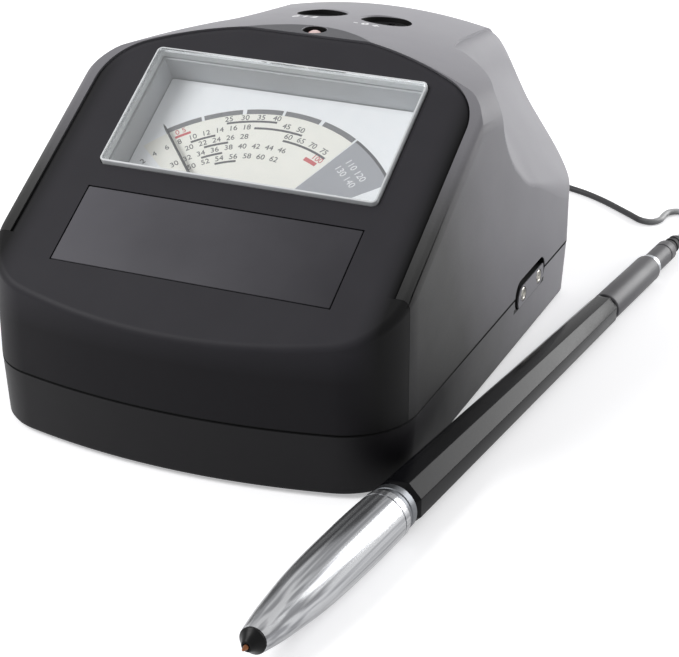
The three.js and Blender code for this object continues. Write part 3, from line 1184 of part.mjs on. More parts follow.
function addCord(parent) {
  const jacket = finish(0x2a2a2d, 0.5);
  const coil = coilCentres();
  console.log("least gap of the coil to itself, mm: " + leastGap(coil).toFixed(2));
  piece(parent, "cord_coil", tubeOf(coil, 6), jacket);

  pen.updateMatrix();
  const along = (place) => new THREE.Vector3(0, place, 0).applyMatrix4(pen.matrix);
  const start = along(stubEnd + FIT_GAP);
  const lead = along(stubEnd + FIT_GAP + CORD_DIAMETER);
  const join = coil[0].clone().setX(coil[0].x + FIT_GAP);
  const before = join.clone().setX(join.x + CORD_DIAMETER);
  const free = routeToProbe.map((place) => new THREE.Vector3(...place));
  const toProbe = new THREE.CatmullRomCurve3([start, lead, ...free, before, join], false, "centripetal");
  piece(parent, "cord_to_probe", tubeOf(toProbe.getSpacedPoints(76), 8), jacket);

  const last = coil[coil.length - 1];
  const leave = last.clone().setY(last.y - FIT_GAP);
  const after = leave.clone().setY(leave.y - CORD_DIAMETER);
  const hang = routeToHousing.map(([x, past, z]) => new THREE.Vector3(last.x + x, BODY_LENGTH + past, z));
  const mouth = new THREE.Vector3(last.x, BODY_LENGTH + GLAND_LENGTH + FIT_GAP, socketZ);
  const out = mouth.clone().setY(mouth.y + CORD_DIAMETER);
  const toHousing = new THREE.CatmullRomCurve3([leave, after, ...hang, out, mouth], false, "centripetal");
  piece(parent, "cord_to_housing", tubeOf(toHousing.getSpacedPoints(30), 8), jacket);
}

// Assembly
const body = new THREE.Group();
addBase(body);
addCovers(body);
addBatteries(body);
addMeter();
body.add(meter);
addControls(body);
body.add(controls);
addTestStation(body);
addSockets(body);
addPen(body);

// The origin is on the bench, under the middle of the housing and the pen together.
const extent = new THREE.Box3().setFromObject(body, true);
const middle = extent.getCenter(new THREE.Vector3());
addCord(body);
body.position.set(-middle.x, -middle.y, 0);

const root = new THREE.Group();
root.add(body);

export default root;
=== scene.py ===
# %% [markdown]
# # A bench-top gem tester
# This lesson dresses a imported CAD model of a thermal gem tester: a wedge housing with a needle meter under a
# clear window, two sunk knobs, a ready lamp and a heated probe pen on a thin cord. The CAD solids are the
# fixed frame. Each new piece is modelled in millimetres, in a frame that suits it, and then set down in
# metres where the CAD node is that it stands for.

# %% Load the frame
import functools
import math

import bpy
from mathutils import Matrix, Vector


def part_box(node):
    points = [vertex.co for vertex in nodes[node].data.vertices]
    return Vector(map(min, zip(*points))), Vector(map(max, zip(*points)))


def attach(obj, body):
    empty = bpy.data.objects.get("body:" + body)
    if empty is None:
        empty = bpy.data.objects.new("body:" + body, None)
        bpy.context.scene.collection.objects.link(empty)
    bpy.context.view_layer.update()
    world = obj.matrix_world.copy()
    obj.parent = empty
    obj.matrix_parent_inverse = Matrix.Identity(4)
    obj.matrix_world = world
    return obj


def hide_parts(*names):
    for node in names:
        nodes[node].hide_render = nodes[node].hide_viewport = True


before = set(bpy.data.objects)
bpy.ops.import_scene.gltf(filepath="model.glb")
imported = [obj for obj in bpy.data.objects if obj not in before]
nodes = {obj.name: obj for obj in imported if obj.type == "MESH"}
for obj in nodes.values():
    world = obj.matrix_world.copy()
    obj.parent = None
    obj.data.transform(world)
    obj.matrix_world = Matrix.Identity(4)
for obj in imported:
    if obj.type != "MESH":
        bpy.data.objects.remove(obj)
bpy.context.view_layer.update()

# %% [markdown]
# The housing was drawn with its front-most point at y = 0 and its middle at x = 0. The base tray's box tells
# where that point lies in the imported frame, so every later number can be a plain length from the drawing.

# %% Frames of the drawing, from millimetres to metres
MM = 0.001
base_low, base_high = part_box("base_tray")
BODY = Matrix.Translation(((base_low[0] + base_high[0]) / 2, base_low[1], 0)) @ Matrix.Scale(MM, 4)
BODY_WIDTH, BODY_LENGTH = 116, 154
HALF_WIDTH = BODY_WIDTH / 2
FOOT_HEIGHT, RIDGE_HEIGHT, RIDGE_Y = 38.8, 90.4, 87.74
FASCIA_ANGLE = math.atan2(RIDGE_HEIGHT - FOOT_HEIGHT, RIDGE_Y)
RIDGE_SLOPE = RIDGE_Y / math.cos(FASCIA_ANGLE)
FASCIA = BODY @ Matrix.Translation((0, 0, FOOT_HEIGHT)) @ Matrix.Rotation(FASCIA_ANGLE, 4, "X")
print("fascia angle:", round(math.degrees(FASCIA_ANGLE), 2), "slope length, mm:", round(RIDGE_SLOPE, 2))

# %% [markdown]
# ## The camera
# The picture was taken from the front right, a little above the tester, with a long lens. The camera is
# placed by its distance and two angles, and nothing else is needed: no shift and no depth of field.

# %% Camera
camera_data = bpy.data.cameras.new("camera")
camera = bpy.data.objects.new("camera", camera_data)
bpy.context.scene.collection.objects.link(camera)
bpy.context.scene.camera = camera
camera_data.sensor_width = 36
camera_data.lens = 105.9
camera_data.clip_start, camera_data.clip_end = 0.05, 20
CAMERA_AZIMUTH, CAMERA_ELEVATION = math.radians(23.51), math.radians(25.15)
camera.location = BODY @ Vector((214.87, -384.51, 246.66))
camera.rotation_euler = (math.pi / 2 - CAMERA_ELEVATION, 0, CAMERA_AZIMUTH)
print("camera at", [round(v, 4) for v in camera.location])

# %% [markdown]
# ## The cord
# A thin, limp cord of two millimetres leaves the gland in the rear wall, drops to the bench, lies in a neat
# round coil behind the housing, and runs on in one loose curve to the pen's tail. It is one open spline, so
# its length can be measured. The points of its route are the ones that the CAD solids follow.

# %% Route of the cord
CORD_DIAMETER = 2.0
PEN_TURN, PEN_DROP = math.radians(5.14), 0.0137683
PEN = (
    Matrix.Translation(MM * Vector((44.1460, -131.7373, 7.5352)))
    @ Matrix.Rotation(-PEN_TURN, 4, "Z")
    @ Matrix.Rotation(-math.atan(PEN_DROP), 4, "X")
    @ Matrix.Scale(MM, 4)
)
STUB_END = 264.4
SOCKET_HEIGHT, GLAND_X, GLAND_LENGTH = 28.0, -36.0, 12.0
COIL_TURNS, COIL_PITCH, COIL_RADIUS = 8.25, 2.45, 15.9
COIL_X, COIL_Y = GLAND_X + COIL_RADIUS, 229.4
BENCH = 1.05
to_pen = [
    (80.7, 200, 3.4), (80.8, 207, 2.2), (80.2, 213.5, 1.3), (78.7, 218.7, BENCH), (76, 222.3, BENCH),
    (72.6, 223.4, BENCH), (69.9, 221.3, BENCH), (69.2, 217.6, BENCH), (69, 213.8, BENCH),
    (66.9, 210.8, BENCH), (63.4, 210.9, BENCH), (58.8, 214.2, BENCH), (54, 217.8, BENCH),
    (49.8, 220.9, BENCH), (45.6, 223.7, BENCH), (39.3, 227.2, BENCH), (33.3, 229.6, BENCH),
    (26.5, 232.2, BENCH), (19, 235.8, BENCH), (11, 240.3, BENCH), (2.5, 244.8, BENCH), (-6, 247.3, BENCH),
]
to_gland = [
    (66.5, 2), (61, 1.25), (53, BENCH), (45.5, 1.2), (39.5, 2.5), (34.5, 5.5), (30.5, 10.5), (27, 16.5),
    (23, 22.5), (18.5, 26.8),
]


def coil_points():
    """The coil's centre line: in along the bench, up one layer over half a turn, and out again on top."""
    climb = 0.5
    spiral = (COIL_TURNS - climb) / 2
    inner = COIL_RADIUS - spiral * COIL_PITCH
    count = round(COIL_TURNS * 24)
    made = []
    for i in range(count + 1):
        turns = COIL_TURNS * i / count
        angle = math.pi / 2 + turns * math.tau
        climbed = min(max((turns - spiral) / climb, 0), 1)
        past = max(spiral - turns, turns - spiral - climb, 0)
        radius = inner + past * COIL_PITCH - COIL_PITCH / 4 * math.sin(math.pi * climbed)
        made.append(Vector((COIL_X + radius * math.cos(angle), COIL_Y + radius * math.sin(angle),
                            CORD_DIAMETER / 2 + climbed * COIL_PITCH)))
    return made


def rounded_route(points, steps):
    """A centripetal Catmull-Rom curve through the points, with a number of steps in each span."""
    ends = [2 * points[0] - points[1], *points, 2 * points[-1] - points[-2]]
    made = []
    for a, b, c, d in zip(ends, ends[1:], ends[2:], ends[3:]):
        t1 = (b - a).length ** 0.5
        t2 = t1 + (c - b).length ** 0.5
        t3 = t2 + (d - c).length ** 0.5
        for i in range(steps):
            t = t1 + (t2 - t1) * i / steps
            p, q, r = a.lerp(b, t / t1), b.lerp(c, (t - t1) / (t2 - t1)), c.lerp(d, (t - t2) / (t3 - t2))
            made.append(p.lerp(q, t / t2).lerp(q.lerp(r, (t - t1) / (t3 - t1)), (t - t1) / (t2 - t1)))
    return [*made, points[-1]]


from_body = BODY.inverted() @ PEN
tail = [from_body @ Vector((0, STUB_END + out, 0)) for out in (0.3, 0.3 + CORD_DIAMETER)]
coil = coil_points()
wall_y = BODY_LENGTH
mouth = [Vector((GLAND_X, wall_y + GLAND_LENGTH + 0.3, SOCKET_HEIGHT))]
mouth.append(mouth[0] + Vector((0, CORD_DIAMETER, 0)))
down = [Vector((GLAND_X, wall_y + past, z)) for past, z in reversed(to_gland)]
free = [Vector(p) for p in reversed(to_pen)]
first = rounded_route([*mouth, *down, coil[-1] - Vector((0, 2.3, 0)), coil[-1]], 4)
last = rounded_route([coil[0], coil[0] + Vector((2.3, 0, 0)), *free, *reversed(tail)], 4)
route = [*first, *list(reversed(coil))[1:-1], *last]
print("cord, points:", len(route), "length, mm:",
      round(sum((b - a).length for a, b in zip(route, route[1:])), 1))

# %% The cord as one open spline
cord_line = bpy.data.curves.new("cord", "CURVE")
cord_line.dimensions = "3D"
cord_line.bevel_depth = CORD_DIAMETER / 2
cord_line.bevel_resolution = 4
cord_line.use_fill_caps = True
spline = cord_line.splines.new("POLY")
spline.points.add(len(route) - 1)
for point, place in zip(spline.points, route):
    point.co, point.radius = (*(BODY @ place), 1), MM
spline.use_smooth = True
cord = bpy.data.objects.new("cord", cord_line)
bpy.context.scene.collection.objects.link(cord)
in_metres = [BODY @ p for p in route]
CORD_LENGTH = sum((b - a).length for a, b in zip(in_metres, in_metres[1:]))
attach(cord, "housing")
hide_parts("cord_to_housing", "cord_coil", "cord_to_probe")
print("cord length, m:", round(CORD_LENGTH, 3))

# %% [markdown]
# ## Finishes
# Every finish is a Principled shader, with a pattern in the piece's own coordinates, in millimetres. A small
# class wraps a socket, so that the sums of a pattern can be written as sums. One method adds any other node.

# %% Helper: sums of sockets
class Value:
    """A number that changes over a surface. Python's operators add the Math nodes."""

    def __init__(self, finish, socket):
        self.finish, self.socket = finish, socket

    def sum(self, operation, *numbers, turned=False, clamp=False):
        node = self.finish.tree.nodes.new("ShaderNodeMath")
        node.operation, node.use_clamp = operation, clamp
        numbers = [*numbers, self] if turned else [self, *numbers]
        for socket, number in zip(node.inputs, numbers):
            self.finish.feed(socket, number)
        return Value(self.finish, node.outputs[0])

    def __add__(self, other): return self.sum("ADD", other)
    def __radd__(self, other): return self.sum("ADD", other)
    def __sub__(self, other): return self.sum("SUBTRACT", other)
    def __rsub__(self, other): return self.sum("SUBTRACT", other, turned=True)
    def __mul__(self, other): return self.sum("MULTIPLY", other)
    def __rmul__(self, other): return self.sum("MULTIPLY", other)
    def __truediv__(self, other): return self.sum("DIVIDE", other)
    def __gt__(self, other): return self.sum("GREATER_THAN", other)
    def __lt__(self, other): return self.sum("LESS_THAN", other)
    def limited(self): return self.sum("ADD", 0, clamp=True)
    def most(self, other): return self.sum("MAXIMUM", other)
    def size(self): return self.sum("ABSOLUTE")


def colour(code, alpha=1):
    """A colour as it is written on a screen, such as 3c3b3f, turned into linear light."""
    parts = [int(code[i:i + 2], 16) / 255 for i in (0, 2, 4)]
    return (*[p / 12.92 if p <= 0.04045 else ((p + 0.055) / 1.055) ** 2.4 for p in parts], alpha)


class Finish:
    def __init__(self, name, slot, base, roughness, **settings):
        self.material = bpy.data.materials.new(name)
        self.material.use_nodes = True
        self.material.diffuse_color = colour(base)
        self.tree = self.material.node_tree
        self.shader = self.tree.nodes["Principled BSDF"]
        self.set("Base Color", colour(base))
        self.set("Roughness", roughness)
        for key, value in settings.items():
            self.set(key.replace("_", " ").title().replace("Ior", "IOR"), value)

    def feed(self, socket, value):
        if isinstance(value, Value):
            self.tree.links.new(value.socket, socket)
        else:
            socket.default_value = value

    def set(self, socket, value):
        self.feed(self.shader.inputs[socket], value)

    def add(self, kind, settings=(), output=0, **sockets):
        """Adds a node: its settings first, then the values or links of its sockets, by name or number."""
        node = self.tree.nodes.new("ShaderNode" + kind)
        for key, value in dict(settings).items():
            if key == "stops":
                while len(node.color_ramp.elements) < len(value):
                    node.color_ramp.elements.new(0)
                for element, (place, shade) in zip(node.color_ramp.elements, value):
                    element.position, element.color = place, shade
            else:
                setattr(node, key, value)
        for key, value in sockets.items():
            self.feed(node.inputs[int(key[1:]) if key[0] == "i" and key[1:].isdigit() else key], value)
        return Value(self, node.outputs[output])

    def place(self):
        """The place on the piece, in millimetres."""
        here = self.add("TexCoord", output="Object")
        return self.add("VectorMath", {"operation": "SCALE"}, i0=here, i3=1 / MM)

    def along(self, axis):
        return self.add("SeparateXYZ", output="XYZ".index(axis), i0=self.place())

    def drawn(self, axis):
        """The place in the drawing of the housing, in millimetres."""
        return self.along(axis) - BODY.translation["XYZ".index(axis)] / MM

    def in_box(self, low, high):
        """One inside a box of the drawing, and nothing outside it."""
        within = 1
        for axis, a, b in zip("XYZ", low, high):
            here = self.drawn(axis)
            within = (here > a) * (here < b) * within
        return within

    def in_bore(self, x, y, z, lean, radius):
        """One nearer than the radius to an axis that leans back from upright, and nothing beyond it."""
        across = self.drawn("X") - x
        back = (self.drawn("Y") - y) * math.cos(lean) - (self.drawn("Z") - z) * math.sin(lean)
        return (across * across + back * back) < radius * radius

    def noise(self, per_mm, detail=2, where=None, roughness=0.5):
        return self.add("TexNoise", Vector=where or self.place(), Scale=per_mm, Detail=detail,
                        Roughness=roughness)

    def blend(self, share, a, b):
        a, b = (colour(c) if isinstance(c, str) else c for c in (a, b))
        return self.add("Mix", {"data_type": "RGBA"}, output=2, i0=share, i6=a, i7=b)

    def bump(self, height, strength, depth_mm=0.05):
        normal = self.add("Bump", Height=height, Strength=strength, Distance=depth_mm * MM)
        self.set("Normal", normal)


def moulded(name, slot, dark, light, roughness, grain=2.2, strength=0.25, **settings):
    """Moulded plastic: a faint mottle in its colour and gloss, and a fine spark-eroded grain."""
    finish = Finish(name, slot, light, roughness, **settings)
    mottle = finish.noise(0.09, 3)
    finish.set("Base Color", finish.blend(mottle, dark, light))
    fine = finish.noise(grain, 3, roughness=0.6)
    finish.set("Roughness", (mottle - 0.5) * 0.12 + (fine - 0.5) * 0.1 + roughness)
    finish.bump(fine, strength, 0.04)
    return finish


# %% [markdown]
# The front cover is black plastic with a fine satin grain, with painted shade that darkens its side corners and the
# foot of its front wall. The rear cover and the base carry painted light: black at the front and pale towards the
# rear and the top, so their colour follows the place on the housing. The wells, the lamp hole, the test slot and the
# seam get painted shade in near black, and the ridge facet a darker grey.

# %% Places that the finishes need
SEAM, ROOF_FALL, CROWN = 17.9, math.radians(8), 1.1
KNOB_X, WELL_RADIUS, WELL_DEPTH = 9.8, 7.2, 8.1
KNOB_Y = RIDGE_Y + (BODY_LENGTH - RIDGE_Y) * 0.4865
KNOB_Z = RIDGE_HEIGHT + CROWN - math.tan(ROOF_FALL) * (KNOB_Y - RIDGE_Y)
LAMP_Y, LAMP_HOLE = RIDGE_Y + 4.9, 3.3
TEST_Y, TEST_LENGTH, TEST_HEIGHT = BODY_LENGTH * 0.724, 26, 8.8
TEST_INSIDE = (
    (HALF_WIDTH - 5, TEST_Y - TEST_LENGTH / 2 - 0.1, SEAM - TEST_HEIGHT / 2 - 0.1),
    (HALF_WIDTH - 0.25, TEST_Y + TEST_LENGTH / 2 + 0.1, SEAM + TEST_HEIGHT / 2 + 0.1),
)
print("knob axes at y, z:", round(KNOB_Y, 2), round(KNOB_Z, 2))

# %% Finishes of the housing
LIGHT_RAMP_FROM, LIGHT_RAMP_TO = 16, 160
PAINTED_SHADE = "0b0b0c"
black = moulded("black plastic", "black_housing", "29282c", "302f33", 0.5, specular_ior_level=0.12)
# Painted shade: the front cover's side corners darken to near black, the foot of its front wall darkens, and a band
# at the seam is near black.
rolled = ((black.drawn("X").size() - (HALF_WIDTH - 12)) / 7).limited()
seam_edge = black.in_box((-99, -99, 0), (99, 199, SEAM + 0.52))
front_wall = ((FOOT_HEIGHT + 1 - black.drawn("Z")) / 8).limited()
paint = black.blend(black.noise(0.09, 3), "2b2a2e", "323135")
paint = black.blend(rolled * rolled, black.blend(front_wall, paint, "1b1a1d"), "070708")
black.set("Base Color", black.blend(seam_edge, paint, PAINTED_SHADE))


def painted_light_ramp(name, stops):
    """Painted light and shade: colours from dark at the front to pale at the rear and the top, with soft clouds and
    a fine speckle.
    """
    finish = moulded(name, "grey_housing", stops[0][1], stops[0][1], 0.48, grain=2.6, strength=0.3,
                     specular_ior_level=0.2)
    place = finish.drawn("Y") + (finish.drawn("Z") - 45) * 0.5
    speckle, clouds = (finish.noise(1.6, 2) - 0.5) * 5, (finish.noise(0.05, 3) - 0.5) * 10
    share = ((place + speckle + clouds - LIGHT_RAMP_FROM) / (LIGHT_RAMP_TO - LIGHT_RAMP_FROM)).limited()
    return finish, finish.add("ValToRGB", {"stops": [(stop, colour(c)) for stop, c in stops]}, Fac=share)


# Painted light: the rear cover goes from near black at the front to pale grey at the rear and the top.
grey, paint = painted_light_ramp("misted grey", [(0, "121213"), (0.06, "252525"), (0.2, "414141"), (0.42, "757478"),
                                     (0.7, "8a898e"), (1, "9c9ba0")])
# Painted shade: the narrow facet along the ridge is made darker.
facet = (grey.drawn("Z") - RIDGE_HEIGHT).size() < 0.06
paint = grey.blend(facet, paint, "4f4f53")
# Painted shade: near black inside the knob wells and the lamp hole.
for x in (-KNOB_X, KNOB_X):
    paint = grey.blend(grey.in_bore(x, KNOB_Y, KNOB_Z, ROOF_FALL, WELL_RADIUS + 0.06), paint, PAINTED_SHADE)
paint = grey.blend(grey.in_bore(0, LAMP_Y, 0, 0, LAMP_HOLE + 0.06), paint, PAINTED_SHADE)
# Painted shade: near black at the seam and inside the test slot.
paint = grey.blend(grey.in_box((-99, -99, 0), (99, 199, SEAM + 0.52)), paint, PAINTED_SHADE)
grey.set("Base Color", grey.blend(grey.in_box(*TEST_INSIDE), paint, PAINTED_SHADE))

# Painted light on the base as on the rear cover: dark at the front, pale towards the rear.
tray, paint = painted_light_ramp("misted base", [(0, "0f0e11"), (0.08, "1b1b1c"), (0.3, "5f5f60"),
                                     (0.65, "919095"), (1, "a9a8ad")])
# Painted shade: near black on the lip at the seam and inside the test slot.
above_seam = tray.in_box((-99, -99, SEAM - 0.3), (99, 199, 99))
tray.set("Roughness", above_seam * 0.5 + (tray.noise(0.09, 3) - 0.5) * 0.12 + 0.48)
paint = tray.blend(above_seam, paint, PAINTED_SHADE)
tray.set("Base Color", tray.blend(tray.in_box(*TEST_INSIDE), paint, PAINTED_SHADE))
panel_film = moulded("panel film", "panel_grey", "3d3c41", "48474c", 0.5, grain=1.2, strength=0.3,
                     specular_ior_level=0.12)
# Painted reflection: the film is lighter at the left end and darker at the right end.
across = (panel_film.drawn("X") / 90 + 0.5 + (panel_film.noise(0.05, 3) - 0.5) * 0.5).limited()
panel_film.set("Base Color", panel_film.blend(across, "58575c", "37363a"))

# %% Finishes of the meter
clear = Finish("clear window", "clear_window", "f7fafb", 0.0, transmission_weight=1.0, ior=1.47)
clear.set("Base Color", clear.blend(clear.noise(0.35, 2), "f3f7f8", "fcfdfd"))
lamps_through = clear.add("BsdfTransparent", Color=colour("ffffff"))
is_shadow = clear.add("LightPath", output="Is Shadow Ray")
shadow_or_soft = is_shadow.most(clear.add("LightPath", output="Is Diffuse Ray"))
surface = clear.add("MixShader", i0=shadow_or_soft, i1=Value(clear, clear.shader.outputs[0]), i2=lamps_through)
clear.feed(clear.tree.nodes["Material Output"].inputs["Surface"], surface)

case_grey = moulded("meter case grey", "meter_grey", "b4b6b9", "c1c3c6", 0.55, strength=0.15)
# Painted highlight: pale grey for the rim round the lens, where the clear pane's edges shine.
pane_edge_highlight = moulded("pane edge", "clear_window", "d2d5d7", "e2e4e6", 0.4, grain=0.5, strength=0.01)
card = moulded("dial card", "dial_white", "f3f4f7", "f7f8fa", 0.7, grain=6, strength=0.08)
cream = moulded("cream print", "dial_white", "f2f0e8", "f6f4ed", 0.7, grain=6, strength=0.08)
grey_print = moulded("grey print", "dial_white", "747477", "7c7c7f", 0.6, grain=6, strength=0.08)
dark_print = moulded("dark print", "dial_white", "505053", "58585b", 0.6, grain=6, strength=0.08)
zone_print = moulded("zone print", "dial_white", "9b9ca2", "a5a6ac", 0.6, grain=6, strength=0.08)
red_print = moulded("red print", "dial_white", "c25a60", "cc6a6c", 0.6, grain=6, strength=0.08)
white_print = moulded("white print", "dial_white", "e8e8ea", "f0f0f1", 0.6, grain=6, strength=0.08)
needle_black = moulded("needle paint", "needle_black", "2c2c2e", "37373a", 0.45, strength=0.1)


# %% Finishes of metal, rubber and small parts
def metal(name, slot, dark, light, roughness, across=None, **settings):
    """Metal with fine marks: turned rings along an axis, or small smudges where none is given."""
    finish = Finish(name, slot, light, roughness, metallic=1.0, **settings)
    smudge = finish.noise(0.25, 3)
    if across:
        marks = finish.noise(9, 2, where=finish.add("CombineXYZ", i0=finish.along(across)))
        finish.bump(marks, 0.1, 0.01)
    finish.set("Base Color", finish.blend(smudge, dark, light))
    finish.set("Roughness", (smudge - 0.5) * roughness * 0.8 + roughness)
    return finish


chrome = metal("chrome", "chrome_trim", "c9cacc", "d9dadc", 0.24)
# Painted reflection: long light and dark streaks along the pen stand in for the surroundings mirrored in the
# polished nose.
reflection_streak_place = chrome.add("Mapping", {"vector_type": "TEXTURE"}, Vector=chrome.place(), Rotation=(0, 0, -PEN_TURN),
                      Scale=(1.2, 500, 1.2))
reflection_streaks = ((chrome.noise(1, 1, where=reflection_streak_place) - 0.4) * 5).limited()
chrome.set("Base Color", chrome.blend(reflection_streaks, "86878a", "b9babc"))
chrome.set("Roughness", reflection_streaks * 0.06 + 0.2)
chrome.set("Metallic", 0.8)
steel = metal("steel", "steel", "a3a6aa", "b9bcc0", 0.32, "Z")
plated = metal("plated contact", "plated_contact", "a9a69d", "c9c6bd", 0.28)
brass = metal("brass", "brass", "a98234", "bd9648", 0.3)
copper = metal("copper tip", "copper_tip", "64402b", "8e5d3f", 0.3)
winding = metal("copper winding", "brass", "8f4a26", "ab5f34", 0.38)
dark_metal = metal("dark metal", "steel", "5d5f62", "707276", 0.4)
gloss = moulded("gloss black", "gloss_black", "09090b", "0f0f11", 0.2, grain=1.2, strength=0.04,
                specular_ior_level=0.08)
satin = moulded("satin grey", "satin_grey", "3a393d", "424145", 0.46, grain=3.2, strength=0.3)
insulator_black = moulded("insulator black", "gloss_black", "050506", "0a0a0c", 0.35, strength=0.1,
                          specular_ior_level=0.15)
knob_black = moulded("knob black", "knob_black", "08080a", "0e0e10", 0.65, specular_ior_level=0.12)
rubber = moulded("rubber", "rubber", "121213", "19191a", 0.82, grain=1.5, strength=0.4)
gland_rubber = moulded("gland rubber", "cord_rubber", "161617", "1e1e20", 0.7, grain=1.8, strength=0.3)
board_green = moulded("circuit board", "circuit_board", "235638", "2f6b45", 0.45, grain=0.6, strength=0.2)
ceramic = moulded("ceramic", "dial_white", "cfcabc", "dcd8cb", 0.6, strength=0.15)
jacket = moulded("cell jacket", "cell_jacket", "2f3a45", "3d4a57", 0.33, grain=0.8, strength=0.1)

lamp = Finish("lamp lens", "lamp_pink", "e8c9c6", 0.2, coat_weight=0.6, coat_roughness=0.05)
lamp_depth = lamp.add("LayerWeight", output="Facing", Blend=0.35)
lamp.set("Base Color", lamp.blend(lamp_depth, "f1dcd9", "c98f8c"))

# %% [markdown]
# The cord's jacket is black where it leaves the housing. Towards the pen a painted highlight turns it into a pale,
# cloudy grey, so the colour follows the place behind and beside the housing.

# %% Finish of the cord
jacket_line = Finish("cord jacket", "cord_rubber", "222225", 0.5)
cord_grain = jacket_line.noise(0.9, 3)
# Painted highlight: from these places across, the jacket turns pale grey towards the pen.
HIGHLIGHT_FROM, HIGHLIGHT_TO = 50.0, 60.0
pale = ((jacket_line.along("X") - HIGHLIGHT_FROM) / (HIGHLIGHT_TO - HIGHLIGHT_FROM)).limited()
cloudy = jacket_line.blend(cord_grain, "9fa0a1", "c9cacb")
jacket_line.set("Base Color", jacket_line.blend(pale, jacket_line.blend(cord_grain, "1d1d20", "28282b"), cloudy))
jacket_line.set("Roughness", cord_grain * 0.2 + 0.38)
jacket_line.bump(cord_grain, 0.2, 0.05)
cord.data.materials.append(jacket_line.material)

# %% [markdown]
# ## Tools of the bench
# Every piece goes through the same few steps: something is added, shaped with operators, cut with other
# shapes, and set down in its place. The operators act on what is selected, so each helper clears the
# selection first.

# %% Helpers: selection, cutting, and setting down
def only(piece):
    bpy.ops.object.select_all(action="DESELECT")
    piece.select_set(True)
    bpy.context.view_layer.objects.active = piece
    return piece


def in_edit(piece, select="SELECT"):
    only(piece)
    bpy.ops.object.mode_set(mode="EDIT")
    bpy.ops.mesh.select_all(action=select)


def out_of_edit():
    bpy.ops.object.mode_set(mode="OBJECT")
    return bpy.context.object


def added(name):
    piece = bpy.context.object
    piece.name = piece.data.name = name
    return piece


def with_modifier(piece, kind, **settings):
    only(piece)
    modifier = piece.modifiers.new(kind.title(), kind)
    for key, value in settings.items():
        setattr(modifier, key, value)
    bpy.ops.object.modifier_apply(modifier=modifier.name)
    return piece


def cut(piece, tool, how="DIFFERENCE", keep=False):
    """Cuts a closed shape by another, joins the two, or keeps what they share."""
    with_modifier(piece, "BOOLEAN", operation=how, object=tool, solver="MANIFOLD")
    if not keep:
        bpy.data.meshes.remove(tool.data)
    return piece


def moved(piece, matrix):
    piece.data.transform(matrix)
    if matrix.determinant() < 0:
        piece.data.flip_normals()
    return piece


def copied(piece, name):
    twin = piece.copy()
    twin.data = piece.data.copy()
    twin.name = twin.data.name = name
    bpy.context.scene.collection.objects.link(twin)
    return twin


def turn(degrees, axis):
    return Matrix.Rotation(math.radians(degrees), 4, axis)


def at(*place):
    return Matrix.Translation(place)


UPRIGHT_TO_Y = turn(-90, "X")


# %% Helpers: the shapes that are started from
def block(name, x, y, z, edge=0, segments=3):
    """A box between two places on each axis, with its edges rounded."""
    bpy.ops.object.select_all(action="DESELECT")
    bpy.ops.mesh.primitive_cube_add(size=1)
    piece = added(name)
    in_edit(piece)
    bpy.ops.transform.resize(value=(x[1] - x[0], y[1] - y[0], z[1] - z[0]), center_override=(0, 0, 0))
    bpy.ops.transform.translate(value=((x[0] + x[1]) / 2, (y[0] + y[1]) / 2, (z[0] + z[1]) / 2))
    if edge:
        bpy.ops.mesh.bevel(offset=edge, segments=segments, affect="EDGES")
    return out_of_edit()


def plate(name, outline, z0, z1, edge=0, segments=3):
    """A flat outline, drawn point by point, extruded from one height to another. The top edge may be rounded."""
    mesh = bpy.data.meshes.new(name)
    mesh.from_pydata([(x, y, z0) for x, y in outline], [], [list(reversed(range(len(outline))))])
    piece = bpy.data.objects.new(name, mesh)
    bpy.context.scene.collection.objects.link(piece)
    in_edit(piece)
    bpy.ops.mesh.extrude_region_move(TRANSFORM_OT_translate={"value": (0, 0, z1 - z0)})
    if edge:
        bpy.ops.mesh.bevel(offset=edge, segments=segments, affect="EDGES")
    bpy.ops.mesh.select_all(action="SELECT")
    bpy.ops.mesh.normals_make_consistent(inside=False)
    return out_of_edit()


def turned(name, profile, sides=64):
    """A circle extruded ring by ring up the Z axis. A profile that comes back to its start leaves a bore."""
    tube = profile[0] == profile[-1]
    bpy.ops.object.select_all(action="DESELECT")
    bpy.ops.mesh.primitive_circle_add(vertices=sides, radius=profile[0][0], location=(0, 0, 0),
                                      fill_type="NOTHING" if tube else "NGON")
    piece = added(name)
    in_edit(piece)
    bpy.ops.transform.translate(value=(0, 0, profile[0][1]))
    pull = bpy.ops.mesh.extrude_edges_move if tube else bpy.ops.mesh.extrude_region_move
    for (r0, z0), (r1, z1) in zip(profile, profile[1:]):
        pull(TRANSFORM_OT_translate={"value": (0, 0, z1 - z0)})
        bpy.ops.transform.resize(value=(r1 / r0, r1 / r0, 1), center_override=(0, 0, z1))
    bpy.ops.mesh.select_all(action="SELECT")
    bpy.ops.mesh.remove_doubles(threshold=1e-4)
    bpy.ops.mesh.normals_make_consistent(inside=False)
    return out_of_edit()


def rounded(corners, radius, steps=6):
    """The outline of a polygon with its corners rounded."""
    made = []
    for before, here, after in zip(corners[-1:] + corners[:-1], corners, corners[1:] + corners[:1]):
        here, a, b = Vector(here), Vector(before), Vector(after)
        to_a, to_b = (a - here).normalized(), (b - here).normalized()
        half = to_a.angle(to_b) / 2
        centre = here + (to_a + to_b).normalized() * radius / math.sin(half)
        start, end = here + to_a * radius / math.tan(half), here + to_b * radius / math.tan(half)
        for i in range(steps + 1):
            spoke = (start - centre).normalized().slerp((end - centre).normalized(), i / steps)
            made.append(tuple(centre + spoke * radius))
    return made


def rectangle(x, y, radius, steps=6):
    return rounded([(x[0], y[0]), (x[1], y[0]), (x[1], y[1]), (x[0], y[1])], radius, steps)


